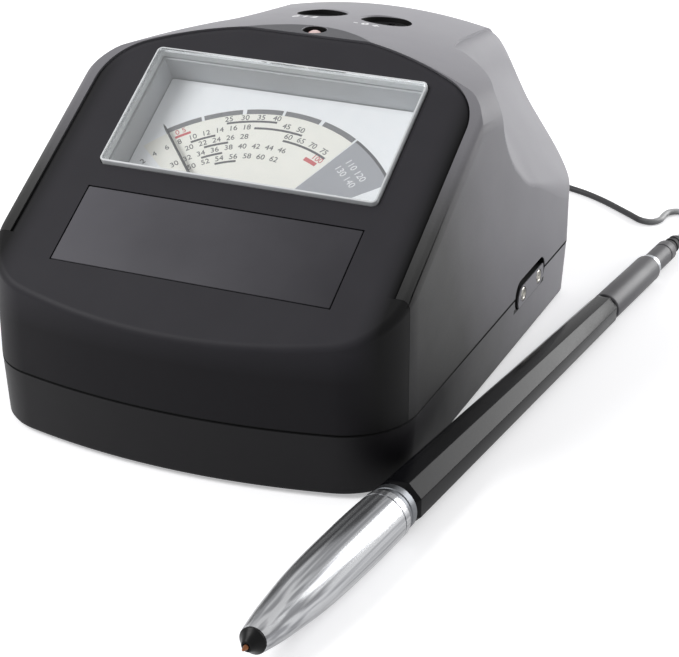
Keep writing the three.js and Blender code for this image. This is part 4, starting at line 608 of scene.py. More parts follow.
# %% Helper: set down in metres, and tell the frame
def settle(piece, place, finish, *stands_for, body="housing", slot=None, angle=30, weigh=False):
    """Moves the finished mesh to its place in metres. It then rides on its body in the node's stead."""
    moved(piece, place)
    only(piece)
    bpy.ops.object.shade_smooth_by_angle(angle=math.radians(angle))
    if weigh:
        piece.modifiers.new("weigh", "WEIGHTED_NORMAL").keep_sharp = True
        bpy.ops.object.modifier_apply(modifier="weigh")
    piece.data.materials.clear()
    piece.data.materials.append(finish)
    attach(piece, body)
    if stands_for:
        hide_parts(*stands_for)
    low, high = (Vector(f(c[i] for c in piece.bound_box) for i in range(3)) for f in (min, max))
    print(piece.name, "triangles:", sum(len(f.vertices) - 2 for f in piece.data.polygons),
          "size, mm:", [round(v / MM, 2) for v in high - low])
    return piece


# %% [markdown]
# ## The housing
# The housing is a wedge: an outline seen from above is pulled up, cut by the sloping fascia with a rolled
# edge, kept under a crowned roof, and scooped out on both flanks. Each of these forms is made on its own and
# the shapes are then cut with one another, as a mould maker would mill them.

# %% The outline seen from above
FRONT_BULGE, FRONT_CORNER, REAR_CORNER = 182.2, 19.5, 10
WALL, GAP = 2.4, 0.3
CORNER_X = HALF_WIDTH - FRONT_CORNER
CORNER_Y = FRONT_BULGE - math.sqrt((FRONT_BULGE - FRONT_CORNER) ** 2 - CORNER_X ** 2)


def outline():
    """Points of the outline with their outward directions, counter-clockwise."""
    made = []

    def arc(cx, cy, radius, start, end, steps, skip_last=False):
        for i in range(steps + (0 if skip_last else 1)):
            angle = start + (end - start) * i / steps
            out = Vector((math.cos(angle), math.sin(angle)))
            made.append((Vector((cx, cy)) + radius * out, out))

    spread = math.asin(CORNER_X / (FRONT_BULGE - FRONT_CORNER))
    quarter = math.pi / 2
    rear_x, rear_y = HALF_WIDTH - REAR_CORNER, BODY_LENGTH - REAR_CORNER
    arc(0, FRONT_BULGE, FRONT_BULGE, -quarter - spread, -quarter + spread, 40, True)
    arc(CORNER_X, CORNER_Y, FRONT_CORNER, -quarter + spread, 0, 22)
    arc(rear_x, rear_y, REAR_CORNER, 0, quarter, 14)
    arc(-rear_x, rear_y, REAR_CORNER, quarter, math.pi, 14)
    arc(-CORNER_X, CORNER_Y, FRONT_CORNER, math.pi, 3 * quarter - spread, 22, True)
    return made


OUTLINE = outline()
print("outline points:", len(OUTLINE))


def loft(name, rings):
    """Closed shape between rings of points that lie over one another."""
    count = len(rings[0])
    faces = [list(reversed(range(count))), [count * (len(rings) - 1) + i for i in range(count)]]
    for ring in range(len(rings) - 1):
        for i in range(count):
            a, b = ring * count + i, ring * count + (i + 1) % count
            faces.append([a, b, b + count, a + count])
    mesh = bpy.data.meshes.new(name)
    mesh.from_pydata([tuple(p) for ring in rings for p in ring], [], faces)
    piece = bpy.data.objects.new(name, mesh)
    bpy.context.scene.collection.objects.link(piece)
    return piece


def ring_at(inset, z):
    return [(*(p - inset * out), z) for p, out in OUTLINE]


# %% The wedge under the fascia, with its rolled edge
def under_fascia(inset, z0, steps):
    radius = max(2.5 - inset, GAP)
    upward = Vector((0, -math.sin(FASCIA_ANGLE), math.cos(FASCIA_ANGLE)))
    rings = [ring_at(inset, z0)]
    for step in range(steps + 1):
        ring = []
        for p, out in OUTLINE:
            outward = Vector((*out, 0))
            centre = Vector((*p, 0)) - outward * (inset + radius)
            plane = FOOT_HEIGHT + math.tan(FASCIA_ANGLE) * centre.y
            centre.z = plane - (inset + radius) / math.cos(FASCIA_ANGLE)
            ring.append(centre + outward.lerp(upward, step / steps).normalized() * radius)
        rings.append(ring)
    return loft("wedge", rings)


# %% The roof
CROWN_RADIUS, SHOULDER, ROOF_REAR = 149, 8, 10


def rounding(past, radius):
    into = min(max(past, 0), radius)
    return radius - math.sqrt(max(radius ** 2 - into ** 2, 0))


def roof_height(x, y, inset=0):
    rear = rounding(y - (BODY_LENGTH - ROOF_REAR), ROOF_REAR - inset)
    side = rounding(abs(x) - (HALF_WIDTH - SHOULDER), SHOULDER - inset)
    return (RIDGE_HEIGHT + CROWN - math.tan(ROOF_FALL) * (y - RIDGE_Y) - x ** 2 / (2 * CROWN_RADIUS)
            - rear - side - inset / math.cos(ROOF_FALL))


def between(a, b, count):
    return [a + (b - a) * i / (count - 1) for i in range(count)]


def sheet_block(name, us, vs, surface, pull):
    """A grid is added, its points are put on a surface, and it is extruded into a block to cut with."""
    bpy.ops.object.select_all(action="DESELECT")
    bpy.ops.mesh.primitive_grid_add(x_subdivisions=len(us) - 1, y_subdivisions=len(vs) - 1, size=2)
    piece = added(name)
    for vertex in piece.data.vertices:
        i = round((vertex.co.x + 1) / 2 * (len(us) - 1))
        j = round((vertex.co.y + 1) / 2 * (len(vs) - 1))
        vertex.co = surface(us[i], vs[j])
    in_edit(piece)
    bpy.ops.mesh.extrude_region_move()
    out_of_edit()
    for vertex in piece.data.vertices:
        if vertex.select:
            vertex.co = pull(vertex.co)
    in_edit(piece)
    bpy.ops.mesh.normals_make_consistent(inside=False)
    return out_of_edit()


def under_roof(inset, fine):
    bends = [math.sin(math.pi / 2 * i / (10 if fine else 4)) for i in range(11 if fine else 5)]
    flat_x, flat_y = HALF_WIDTH - SHOULDER, BODY_LENGTH - ROOF_REAR
    half = between(0, flat_x, 26 if fine else 6) + [flat_x + b * (SHOULDER - inset) for b in bends[1:]]
    half.append(HALF_WIDTH + 5)
    xs = [-x for x in reversed(half[1:])] + half
    ys = [-5, RIDGE_Y / 2] + between(RIDGE_Y - 5, flat_y, 24 if fine else 4)
    ys += [flat_y + b * (ROOF_REAR - inset) for b in bends[1:]] + [BODY_LENGTH + 5]
    return sheet_block("roof", xs, ys, lambda x, y: Vector((x, y, roof_height(x, y, inset))),
                       lambda p: Vector((p.x, p.y, -20)))


# %% The scoops in the flanks
SCOOP_SLOPE, SCOOP_CREASE, SCOOP_EASE, EASE_FROM = 0.74, 0.6, 0.016, 20
SCOOP_EDGE = [(0.5, 1.1), (0.523, 0.929), (0.548, 0.794), (0.57, 0.732), (0.598, 0.674), (0.639, 0.614),
              (0.694, 0.551), (0.776, 0.498), (1, 0.365), (1.1, 0.306)]
edge_line = rounded_route([Vector((y * BODY_LENGTH, z * RIDGE_HEIGHT, 0)) for y, z in SCOOP_EDGE], 6)


def scoop_reach(y, z):
    """How far a place on the side wall lies inside the scoop's edge, or less than nothing outside it."""
    here, nearest, side = Vector((y, z, 0)), 1e9, 1
    for a, b in zip(edge_line, edge_line[1:]):
        span = b - a
        t = min(max((here - a).dot(span) / span.length_squared, 0), 1)
        off = here - a - t * span
        if off.length < nearest:
            nearest, side = off.length, 1 if span.cross(here - a).z > 0 else -1
    return side * nearest


def smooth(share):
    share = min(max(share, 0), 1)
    return share * share * (3 - 2 * share)


@functools.cache
def scoop_half_width(y, z):
    """The half width of the housing inside the scoop: a narrow crease, a slope, and an upper part that steepens."""
    reach, crease = scoop_reach(y, z), SCOOP_CREASE + 2.2 * smooth((y - 112) / 30)
    if reach < -2 * crease:
        return HALF_WIDTH - reach * SCOOP_SLOPE / 2
    depth = SCOOP_SLOPE * ((math.hypot(reach, crease) + reach) / 2 - 0.15 * crease)
    depth -= SCOOP_EASE * max(reach - EASE_FROM, 0) ** 2
    into = min(max((z - roof_height(HALF_WIDTH * 0.6, y) + SHOULDER) / SHOULDER, 0), 1)
    depth += SHOULDER * (1 - math.sqrt(1 - into ** 2)) / 2
    faded = smooth((112 - y) / 20) * smooth((z - 80) / 8)
    return HALF_WIDTH - depth * (1 - faded) + 0.4 * faded


def scoop(side, inset, fine):
    count = 120 if fine else 14
    wall = inset * math.hypot(1, SCOOP_SLOPE)
    ys, shares, low = between(BODY_LENGTH * 0.48, BODY_LENGTH + 5, count), between(0, 1, count), RIDGE_HEIGHT * 0.3

    def place(y, share):
        z = low + (roof_height(HALF_WIDTH * 0.6, y) - low) * share
        return Vector((side * (scoop_half_width(y, z) - wall), y, z))

    return sheet_block("scoop", ys, shares + [1.05, 1.15], place,
                       lambda p: Vector((side * (HALF_WIDTH + 20), p.y, p.z)))


def housing_form(inset, z0, fine):
    form = under_fascia(inset, z0, 8 if fine else 2)
    cut(form, under_roof(inset, fine), "INTERSECT")
    cut(form, block("ridge", (-90, 90), (-40, 200), (-60, RIDGE_HEIGHT - inset)), "INTERSECT")
    for side in (-1, 1):
        cut(form, scoop(side, inset, fine))
    return form


shell = cut(housing_form(0, SEAM + GAP, True), housing_form(WALL, -5, False))
print("housing shell, faces:", len(shell.data.polygons))

# %% [markdown]
# The front cover takes the fascia and the front wall. Its edge is an outline drawn on the fascia, with wide
# rounded upper corners, and behind it a thin rim of the grey rear cover is left all the way round.

# %% The front cover's share
TOP_RADIUS, COVER_CORNER, COVER_RIM, COVER_DEPTH = 94, 18, 4.3, 19.6
COVER_GAP, EDGE_WIDTH, EDGE_DROP = 0.12, 2.4, 0.9
to_fascia = BODY.inverted() @ FASCIA


def cover_outline(inset):
    side, top, corner = HALF_WIDTH - COVER_RIM - inset, TOP_RADIUS - inset, COVER_CORNER - inset
    middle_s = RIDGE_SLOPE + 1.8 - TOP_RADIUS
    corner_x = side - corner
    corner_s = middle_s + math.sqrt((top - corner) ** 2 - corner_x ** 2)
    turn_in = math.atan2(corner_s - middle_s, corner_x)
    points = [(side, -5)]
    for cx, cs, radius, start, end, steps in (
        (corner_x, corner_s, corner, 0, turn_in, 18),
        (0, middle_s, top, turn_in, math.pi - turn_in, 48),
        (-corner_x, corner_s, corner, math.pi - turn_in, math.pi, 18),
    ):
        points += [(cx + radius * math.cos(a), cs + radius * math.sin(a))
                   for a in between(start, end, steps + 1)[1:]]
    points.append((-side, -5))
    return [(x, min(s, RIDGE_SLOPE - inset)) for x, s in points]


def front_share(clear, width=0, drop=0):
    """All that belongs to the front cover. Near the fascia the share draws in, which rounds the cover's edge."""
    steps = [(clear, -WALL - 0.8 + clear), (clear, -drop)]
    steps += [(clear + width * (1 - math.cos(a)), drop * (math.sin(a) - 1))
              for a in between(0, math.pi / 2, 8)[1:] if drop]
    steps += [(clear + width, 6)]
    share = loft("share", [[(*p, z) for p in cover_outline(inset)] for inset, z in steps])
    moved(share, to_fascia)
    return cut(share, block("front end", (-300, 300), (-300, COVER_DEPTH - clear), (-300, 300)), "UNION")


front = cut(copied(shell, "front_shell"), front_share(COVER_GAP, EDGE_WIDTH, EDGE_DROP), "INTERSECT")
rear = cut(shell, front_share(0))
rear.name = rear.data.name = "rear_shell"
for side in (-1, 1):
    for shell_part in (front, rear):
        line = block("line", (-0.15, 0.15), (0, 34), (0, 3))
        cut(shell_part, moved(line, to_fascia @ at(side * (HALF_WIDTH - 0.9), 18.5, -1.15) @ turn(1, "X")))
print("front:", len(front.data.polygons), "rear:", len(rear.data.polygons))

# %% Window, panel pocket, knob wells, lamp hole and test slot
WINDOW_WIDTH, WINDOW_FOOT, WINDOW_TOP = 78.6, 48.79, 89.79
PANEL_WIDTH, PANEL_FOOT, PANEL_TOP, GROOVE = 77.3, 16.7, 40.8, 0.35
half_window, half_panel = WINDOW_WIDTH / 2 + GAP, PANEL_WIDTH / 2 + GROOVE
cut(front, moved(plate("window", rectangle((-half_window, half_window), (WINDOW_FOOT - GAP, WINDOW_TOP + GAP), 1.8),
                       -6, 5), to_fascia))
cut(front, moved(block("pocket", (-half_panel, half_panel), (PANEL_FOOT - GROOVE, PANEL_TOP + GROOVE), (-1.4, 5)),
                 to_fascia))

CONTROLS = BODY @ at(0, KNOB_Y, roof_height(0, KNOB_Y)) @ turn(-8, "X")
to_controls = BODY.inverted() @ CONTROLS
for x in (-KNOB_X, KNOB_X):
    cup = turned("cup", [(WELL_RADIUS + 1.6, -WELL_DEPTH - 1.6), (WELL_RADIUS + 1.6, -WALL / 2)], 96)
    cut(rear, moved(cup, to_controls @ at(x, 0, 0)), "UNION")
for x in (-KNOB_X, KNOB_X):
    lip = [(WELL_RADIUS, -WELL_DEPTH), (WELL_RADIUS, -0.75), (WELL_RADIUS + 0.12, -0.35),
           (WELL_RADIUS + 0.4, -0.05), (WELL_RADIUS + 0.8, 0.1), (WELL_RADIUS + 0.9, 4)]
    cut(rear, moved(turned("well", lip, 96), to_controls @ at(x, 0, 0)))
    cut(rear, moved(turned("bore", [(3.3, -14), (3.3, -4)], 32), to_controls @ at(x, 0, 0)))

lamp_hole = [(LAMP_HOLE, -6), (LAMP_HOLE, -0.3), (3.42, -0.1), (3.65, 0.02), (3.7, 3)]
cut(rear, moved(turned("lamp hole", lamp_hole, 64), at(0, LAMP_Y, RIDGE_HEIGHT)))


def side_slot(name, x0, x1, grow):
    """A slot with round ends through the side wall, between two places across."""
    length, radius = TEST_LENGTH / 2 + grow, TEST_HEIGHT / 2 + grow
    slot = plate(name, rectangle((-length, length), (-radius, radius), radius * 0.999, 14), x0, x1)
    return moved(slot, at(0, TEST_Y, SEAM) @ turn(90, "Z") @ turn(90, "X"))


cut(rear, side_slot("slot", HALF_WIDTH - 5, HALF_WIDTH + 5, 0))
JACK_X, GLAND_HOLE, JACK_HOLE = 20, 3.4, 4.9
for x, radius in ((GLAND_X, GLAND_HOLE), (JACK_X, JACK_HOLE)):
    cut(rear, moved(turned("socket", [(radius, -5), (radius, 5)], 48),
                    at(x, BODY_LENGTH, SOCKET_HEIGHT) @ UPRIGHT_TO_Y))
settle(rear, BODY, grey.material, "rear_cover", weigh=True)
settle(front, BODY, black.material, "front_cover", weigh=True)

# %% [markdown]
# The base is a shallow tray with a floor, a chamfered foot and a lip that the covers sit over. The battery
# door slides in a wide opening in its floor.

# %% The base tray
FOOT_GAP, FLOOR = 1, 3
DOOR_HALF, TONGUE = 29.75, 2
base = loft("base", [ring_at(2.0, FOOT_GAP), ring_at(1.45, FOOT_GAP + 0.25), ring_at(1.0, FOOT_GAP + 1),
                     ring_at(0.12, SEAM - 0.9), ring_at(0.02, SEAM - 0.25), ring_at(0.25, SEAM)])
cut(base, loft("hollow", [ring_at(WALL, FOOT_GAP + FLOOR), ring_at(WALL, SEAM + 5)]))
lip = cut(loft("lip", [ring_at(1.2, SEAM - 2), ring_at(1.2, SEAM - 0.4), ring_at(2.7, SEAM - 0.4),
                       ring_at(2.7, SEAM + 2)]),
          loft("lip hollow", [ring_at(3.9, -5), ring_at(3.9, SEAM + 10)]))
cut(base, lip, "UNION")
SCREWS = [(-38.8, 14.62), (38.8, 14.62), (-49.4, 139.6), (49.4, 139.6)]
FEET = [(-38.8, 29.62), (38.8, 29.62), (-49.4, 124.6), (49.4, 124.6)]
BOX_FRONT, BOX_REAR, BOX_HALF = 91.1, 148.2, 31.35
for x, y in SCREWS:
    cut(base, moved(turned("boss", [(4.4, FLOOR), (4.4, SEAM)], 32), at(x, y, 0)), "UNION")
    cut(base, moved(turned("screw hole", [(3.2, -5), (3.2, 7.9), (1.75, 7.9), (1.75, 30)], 32), at(x, y, 0)))
for x, y in FEET:
    cut(base, moved(turned("foot recess", [(5.3, -5), (5.3, 1.8)], 48), at(x, y, 0)))
for half, low in ((DOOR_HALF + TONGUE + GAP, 1.9), (DOOR_HALF + GAP, -5)):
    cut(base, block("door way", (-half, half), (BOX_FRONT, 170), (low, FOOT_GAP + FLOOR)))
cut(base, block("bay hole", (-BOX_HALF - GAP, BOX_HALF + GAP), (BOX_FRONT - GAP, BOX_REAR + GAP), (3.4, 30)))
cut(base, side_slot("slot", HALF_WIDTH - 5, HALF_WIDTH + 5, 0))
cut(base, side_slot("flange room", HALF_WIDTH - 12.4, HALF_WIDTH - WALL, 2.3))
settle(base, BODY, tray.material, "base_tray", weigh=True)

# %% [markdown]
# ## The probe pen
# The pen is a stack of turned parts on one axis: a copper tip in a black insulator, a polished nose, a dark
# ring, an eight-sided glossy barrel, a satin collar, and a thin sleeve that ends in a ribbed relief for the
# cord. Each is a circle extruded ring by ring, and the barrel is the same with eight sides and bevelled edges.

# %% Tip, insulator and nose
PEN_UP = PEN @ UPRIGHT_TO_Y
NOSE_FOOT, NOSE_LENGTH, NOSE_RADIUS, BORE = 4.6, 61, 6.75, 2.8
NOSE_END = NOSE_FOOT + NOSE_LENGTH
tip = turned("tip", [(0.12, 0), (0.3, 0.22), (0.42, 0.75), (0.5, 1.0), (0.62, 1.25), (0.7, 1.6), (0.7, 10.6),
                     (1.4, 10.6), (1.4, 12.2), (0.3, 12.2)], 32)
settle(tip, PEN_UP, copper.material, "probe_tip", body="sensing_tip")
guide = 0.85
insulator = turned("insulator", [
    (guide, 1.6), (1.12, 1.6), (1.3, 1.66), (1.95, 2.6), (2.75, 3.75), (3.2, 4.05), (3.28, 4.18), (3.28, 4.3),
    (2.65, 4.3), (2.65, 10.3), (guide, 10.3), (guide, 1.6)], 48)
settle(insulator, PEN_UP, insulator_black.material, "tip_insulator")
nose_shares = [(0.507, 0), (0.66, 0.1), (0.78, 0.21), (0.9, 0.35), (0.965, 0.5), (0.99, 0.66), (1, 0.8),
               (0.985, 0.93), (0.97, 1)]
swept = rounded_route([Vector((r * NOSE_RADIUS, NOSE_FOOT + a * NOSE_LENGTH, 0)) for r, a in nose_shares], 7)
swept = [(p.x, p.y) for p in swept]
edge_r = swept[0][0]
groove = NOSE_END - 2.6
front_lip = [(BORE, NOSE_FOOT), (edge_r - 0.25, NOSE_FOOT), (edge_r - 0.07, NOSE_FOOT + 0.06),
             (edge_r, NOSE_FOOT + 0.24)]
body_line = [p for p in swept[1:] if p[1] < groove - 0.2]
rear_r = 0.975 * NOSE_RADIUS
rear_lip = [(rear_r, groove - 0.06), (rear_r - 0.22, groove), (rear_r - 0.22, groove + 0.35),
            (rear_r, groove + 0.41),
            (rear_r - 0.02, NOSE_END - 0.3), (rear_r - 0.1, NOSE_END - 0.08), (rear_r - 0.3, NOSE_END),
            (BORE, NOSE_END), (BORE, NOSE_FOOT)]
nose = turned("nose", front_lip + body_line + rear_lip, 96)
settle(nose, PEN_UP, chrome.material, "chrome_nose")

# %% Ring, barrel and collar
BARREL_FOOT, BARREL_LENGTH, BARREL_FRONT, BARREL_REAR = 70.2, 133, 6.4, 4.85
BARREL_END = BARREL_FOOT + BARREL_LENGTH
ring_r = BARREL_FRONT * 0.95
ring = turned("ring", [(BORE, NOSE_END + 0.3), (ring_r - 0.2, NOSE_END + 0.3), (ring_r, NOSE_END + 0.5),
                       (ring_r, NOSE_END + 1.5), (ring_r - 0.25, NOSE_END + 1.65), (ring_r - 0.25, NOSE_END + 1.95),
                       (ring_r, NOSE_END + 2.1), (ring_r, NOSE_END + 4.1), (ring_r - 0.2, NOSE_END + 4.3),
                       (BORE, NOSE_END + 4.3), (BORE, NOSE_END + 0.3)], 96)
settle(ring, PEN_UP, dark_metal.material, "nose_ring", slot="chrome_trim")
barrel = turned("barrel", [(BORE, BARREL_FOOT), (BARREL_FRONT - 1, BARREL_FOOT), (BARREL_FRONT, BARREL_FOOT + 2),
                           (BARREL_REAR, BARREL_END - 2), (BARREL_REAR - 0.5, BARREL_END), (BORE, BARREL_END),
                           (BORE, BARREL_FOOT)], 8)
in_edit(barrel, "DESELECT")
bpy.ops.mesh.select_mode(type="EDGE")
bpy.ops.mesh.edges_select_sharp(sharpness=math.radians(20))
bpy.ops.mesh.bevel(offset=0.16, segments=2, affect="EDGES")
out_of_edit()
settle(barrel, PEN_UP @ turn(22.5, "Z"), gloss.material, "probe_barrel", angle=20)
COLLAR_FOOT, COLLAR_LENGTH, COLLAR_RADIUS = BARREL_END + 0.3, 35, 4.35
COLLAR_END = COLLAR_FOOT + COLLAR_LENGTH
soft = [math.sin(math.pi / 2 * i / 6) for i in range(7)]
soft_down = [1 - math.cos(math.pi / 2 * i / 6) for i in range(7)]
SOFT = 0.65
collar_line = [(BORE, COLLAR_FOOT)]
collar_line += [(COLLAR_RADIUS - SOFT + SOFT * a, COLLAR_FOOT + SOFT * b) for a, b in zip(soft, soft_down)]
collar_line += [(COLLAR_RADIUS * 0.97 - SOFT + SOFT * a, COLLAR_END - SOFT * b)
                for a, b in zip(reversed(soft), reversed(soft_down))]
collar_line += [(BORE, COLLAR_END), (BORE, COLLAR_FOOT)]
settle(turned("collar", collar_line, 72), PEN_UP, satin.material, "probe_collar")

# %% Tail ring, sleeve and strain relief
wire_bore, SLEEVE_RADIUS = 1.485, 3.3
RING_FOOT, SLEEVE_FOOT, STUB_FOOT = COLLAR_END + 0.3, COLLAR_END + 2.6, COLLAR_END + 17.4
tail_ring = turned("tail_band", [(wire_bore, RING_FOOT), (3.5, RING_FOOT), (3.63, RING_FOOT + 0.2),
                                 (3.63, RING_FOOT + 1.8),
                                 (3.5, RING_FOOT + 2), (wire_bore, RING_FOOT + 2), (wire_bore, RING_FOOT)], 64)
settle(tail_ring, PEN_UP, steel.material, "tail_ring", slot="chrome_trim")
sleeve = turned("sleeve", [(wire_bore, SLEEVE_FOOT), (3.15, SLEEVE_FOOT), (SLEEVE_RADIUS, SLEEVE_FOOT + 0.2),
                           (SLEEVE_RADIUS, SLEEVE_FOOT + 9.6), (3.12, SLEEVE_FOOT + 9.8), (3.12, SLEEVE_FOOT + 10.3),
                           (SLEEVE_RADIUS, SLEEVE_FOOT + 10.5), (SLEEVE_RADIUS, SLEEVE_FOOT + 13.9),
                           (3.1, SLEEVE_FOOT + 14.3), (2.8, SLEEVE_FOOT + 14.5), (wire_bore, SLEEVE_FOOT + 14.5),
                           (wire_bore, SLEEVE_FOOT)], 64)
settle(sleeve, PEN_UP, satin.material, "tail_sleeve")
relief, wire = [(1.3, STUB_FOOT)], 8.5 / 6
for i in range(6):
    r = 2.7 * (1 - 0.25 * i / 6) * (0.85 if i % 2 else 1)
    z = STUB_FOOT + i * wire
    relief += [(r - 0.12, z + 0.001), (r, z + 0.12), (r, z + wire - 0.12), (r - 0.12, z + wire - 0.001)]
relief += [(1.3, STUB_FOOT + 8.5), (1.3, STUB_FOOT)]
settle(turned("relief", relief, 48), PEN_UP, gland_rubber.material, "tail_strain_relief")

# %% [markdown]
# ## The meter
# Under the clear window lies a white card in a grey case. Its scale is printed: broken arcs near the top, a
# dark zone at the right, short bars in rows, and plain numbers. Prints are a twentieth of a millimetre thick,
# so that they also exist as shapes. The needle floats above the card on its hub.

# %% Window
rim_x, rim, ledge = WINDOW_WIDTH / 2, 0.5, 0.9


def pane_outline(inset, corner=1.5):
    return rectangle((inset - rim_x, rim_x - inset), (WINDOW_FOOT + inset, WINDOW_TOP - inset), corner)


window = plate("lens", pane_outline(rim + 0.02, 1.0), -0.4, 1.18)
settle(window, FASCIA, clear.material, "meter_lens")
# Painted highlight: a pale grey rim round the lens stands in for the bright edges of the clear pane.
pane_rim = plate("pane_rim", pane_outline(0), -WALL, 1.24, edge=0.25, segments=3)
cut(pane_rim, plate("seat", pane_outline(rim, 1.0), -0.42, 5))
cut(pane_rim, plate("hole", pane_outline(ledge, 0.6), -8, 5))
settle(pane_rim, FASCIA, pane_edge_highlight.material)
panel = block("panel", (-PANEL_WIDTH / 2, PANEL_WIDTH / 2), (PANEL_FOOT, PANEL_TOP), (-1.1, 0), edge=0.18)
settle(panel, FASCIA, panel_film.material, "name_panel")

# %% Card
PIVOT_S, CARD, PRINT = 36.49, -10.25, 0.05
card_plate = block("card", (-37.5, 37.5), (24.49, 87.99), (CARD - 0.6, CARD))
cut(card_plate, moved(turned("pivot hole", [(2.7, -20), (2.7, 5)], 48), at(0, PIVOT_S, 0)))
settle(card_plate, FASCIA, card.material, "dial_plate")


SCALE_LEFT, SCALE_DOWN = 0.8, 0.35


def scale_place(radius, degrees):
    """A place on the card, by its distance from the scale's centre and its angle to the right of straight up."""
    angle = math.radians(degrees)
    return (radius * math.sin(angle) - SCALE_LEFT, PIVOT_S + radius * math.cos(angle) - SCALE_DOWN)


def band(name, inner, outer, left, right):
    steps = max(3, round((right - left) / 1.5))
    angles = between(left, right, steps + 1)
    line = [scale_place(inner, a) for a in angles] + [scale_place(outer, a) for a in reversed(angles)]
    return plate(name, line, CARD, CARD + PRINT)


def printed(name, shapes, finish, lift=0.0):
    """Joins shapes into one print."""
    bpy.ops.object.select_all(action="DESELECT")
    for shape in shapes:
        shape.select_set(True)
    bpy.context.view_layer.objects.active = shapes[0]
    bpy.ops.object.join()
    piece = added(name)
    return settle(piece, FASCIA @ at(0, 0, lift), finish.material)


printed("cream_field", [band("field", 9, 44.4, -52, 29.6)], cream)
arcs = [(-42.8, -29.8), (-28.8, -15.3), (-13.8, -0.8), (0.2, 13.7), (15.2, 29.2)]
printed("scale_arcs", [band("arc", 44.4, 46, a, b) for a, b in arcs], grey_print, PRINT)
printed("hard_zone", [band("zone", 22, 45.2, 30, 53)], zone_print)
printed("hard_zone_rim", [band("rim", 45.2, 46.0, 30, 52)], dark_print)
bars = [(41.4, -20.8, -1.4), (39, -9.6, 10.9), (37.8, -35.7, -25.4), (35.8, 4.6, 27), (34.5, -30.8, -19.9),
        (31.1, -33.1, -22.6), (27.7, -26.8, -15.1)]
printed("row_bars", [band("bar", r, r + 0.65, a, b) for r, a, b in bars], dark_print, PRINT)
red_marks = [band("bar", 41.3, 42.1, -40.7, -34.6), band("bar", 32.6, 33.8, 19.3, 26.3)]
printed("red_bars", red_marks, red_print, PRINT)


# %% Numbers
def flat_text(text, size, bold=0):
    """Text is made a mesh first and set down afterwards."""
    bpy.ops.object.select_all(action="DESELECT")
    bpy.ops.object.text_add()
    letters = bpy.context.object
    letters.data.body, letters.data.size = text, size
    letters.data.align_x, letters.data.align_y = "CENTER", "CENTER"
    letters.data.extrude, letters.data.offset = PRINT / 2, bold
    bpy.ops.object.convert(target="MESH")
    return bpy.context.object


def number(text, radius, degrees, size, slant=0):
    x, y = scale_place(radius, degrees)
    return moved(flat_text(text, size), at(x, y, CARD + PRINT / 2) @ turn(-degrees + slant, "Z"))


rows = [(43.1, -20, 6, "25 30 35 40"), (40.9, 3, 6, "45 50"), (37.7, 6, 6, "60 65 70 75"),
        (39.7, -56, 5.4, "2 4 6 8 10 12 14 16 18"), (36.4, -37, 6, "20 22 24 26 28"),
        (33.0, -46, 6.6, "30 32 34 36 38 40 42 44 46"), (29.6, -39, 7.4, "50 52 54 56 58 60 62")]
printed("numbers", [number(t, r, start + i * step, 2.4) for r, start, step, words in rows
                    for i, t in enumerate(words.split())], dark_print, PRINT)
printed("red_numbers", [number("0 5", 43.2, -38, 2.4), number("100", 34.9, 24.5, 2.4)], red_print, PRINT)
printed("zone_numbers", [number("110 120", 39.6, 41, 2.7), number("130 140", 36.4, 41, 2.7)], white_print, PRINT)

# %% Needle
NEEDLE_ANGLE, NEEDLE_FOOT, NEEDLE_LENGTH = 43.5, -8.75, 46.8
blade = [(-0.9, -8), (0.9, -8), (0.45, 1.8), (0.3, NEEDLE_LENGTH - 1.2), (0, NEEDLE_LENGTH),
         (-0.3, NEEDLE_LENGTH - 1.2),
         (-0.45, 1.8)]
needle = plate("needle", blade, NEEDLE_FOOT, NEEDLE_FOOT + 0.5, edge=0.06, segments=2)
hub = turned("hub", [(0.9, -15.5), (0.9, NEEDLE_FOOT - 0.5), (1.8, NEEDLE_FOOT - 0.5), (1.8, NEEDLE_FOOT + 0.4),
                     (1.6, NEEDLE_FOOT + 0.5)], 32)
cut(needle, hub, "UNION")
settle(needle, FASCIA @ at(0, PIVOT_S, 0) @ turn(NEEDLE_ANGLE, "Z"), needle_black.material,
       "meter_needle", body="needle")

# %% [markdown]
# ## Lamp, knobs, test station and sockets

# %% Lamp
lens_line = [(2.6, 79.8)] + [(2.6 * math.cos(a), 87.5 + 2.6 * math.sin(a)) for a in between(0, math.radians(86), 12)]
settle(moved(turned("lamp", lens_line, 64), at(0, LAMP_Y, 0)), BODY, lamp.material, "ready_lamp")

# %% Knobs
KNOB_RADIUS, KNOB_TOP, KNOB_HEIGHT = 6.9, -1.8, 6
for x, body, node in ((-KNOB_X, "power_dial", "power_knob"), (KNOB_X, "calibrate_dial", "calibrate_knob")):
    line = [(3, -15.7), (3, KNOB_TOP - KNOB_HEIGHT), (KNOB_RADIUS, KNOB_TOP - KNOB_HEIGHT),
            (KNOB_RADIUS, KNOB_TOP - 0.7),
            (KNOB_RADIUS - 0.2, KNOB_TOP - 0.25), (KNOB_RADIUS - 0.6, KNOB_TOP), (KNOB_RADIUS - 1.4, KNOB_TOP),
            (KNOB_RADIUS - 1.7, KNOB_TOP - 0.25), (0.4, KNOB_TOP - 0.45)]
    knob = turned("knob", line, 96)
    cut(knob, block("slot", (-0.9, 0.9), (-5.2, 5.2), (KNOB_TOP - 1.8, 5), edge=0.2))
    settle(knob, CONTROLS @ at(x, 0, 0), knob_black.material, node, body=body)

# %% Marks beside the wells
for text, x, back, name in (("0 1 2", -KNOB_X - 1, 9.9, "power_marks"),
                            ("- 0 +", KNOB_X - 1.5, 10.9, "calibrate_marks")):
    marks = flat_text(text, 3.8, bold=0.12)
    moved(marks, at(x, KNOB_Y - back, PRINT / 2))
    for vertex in marks.data.vertices:
        vertex.co.z += roof_height(vertex.co.x, vertex.co.y)
    marks.name = marks.data.name = name
    settle(marks, BODY, white_print.material)

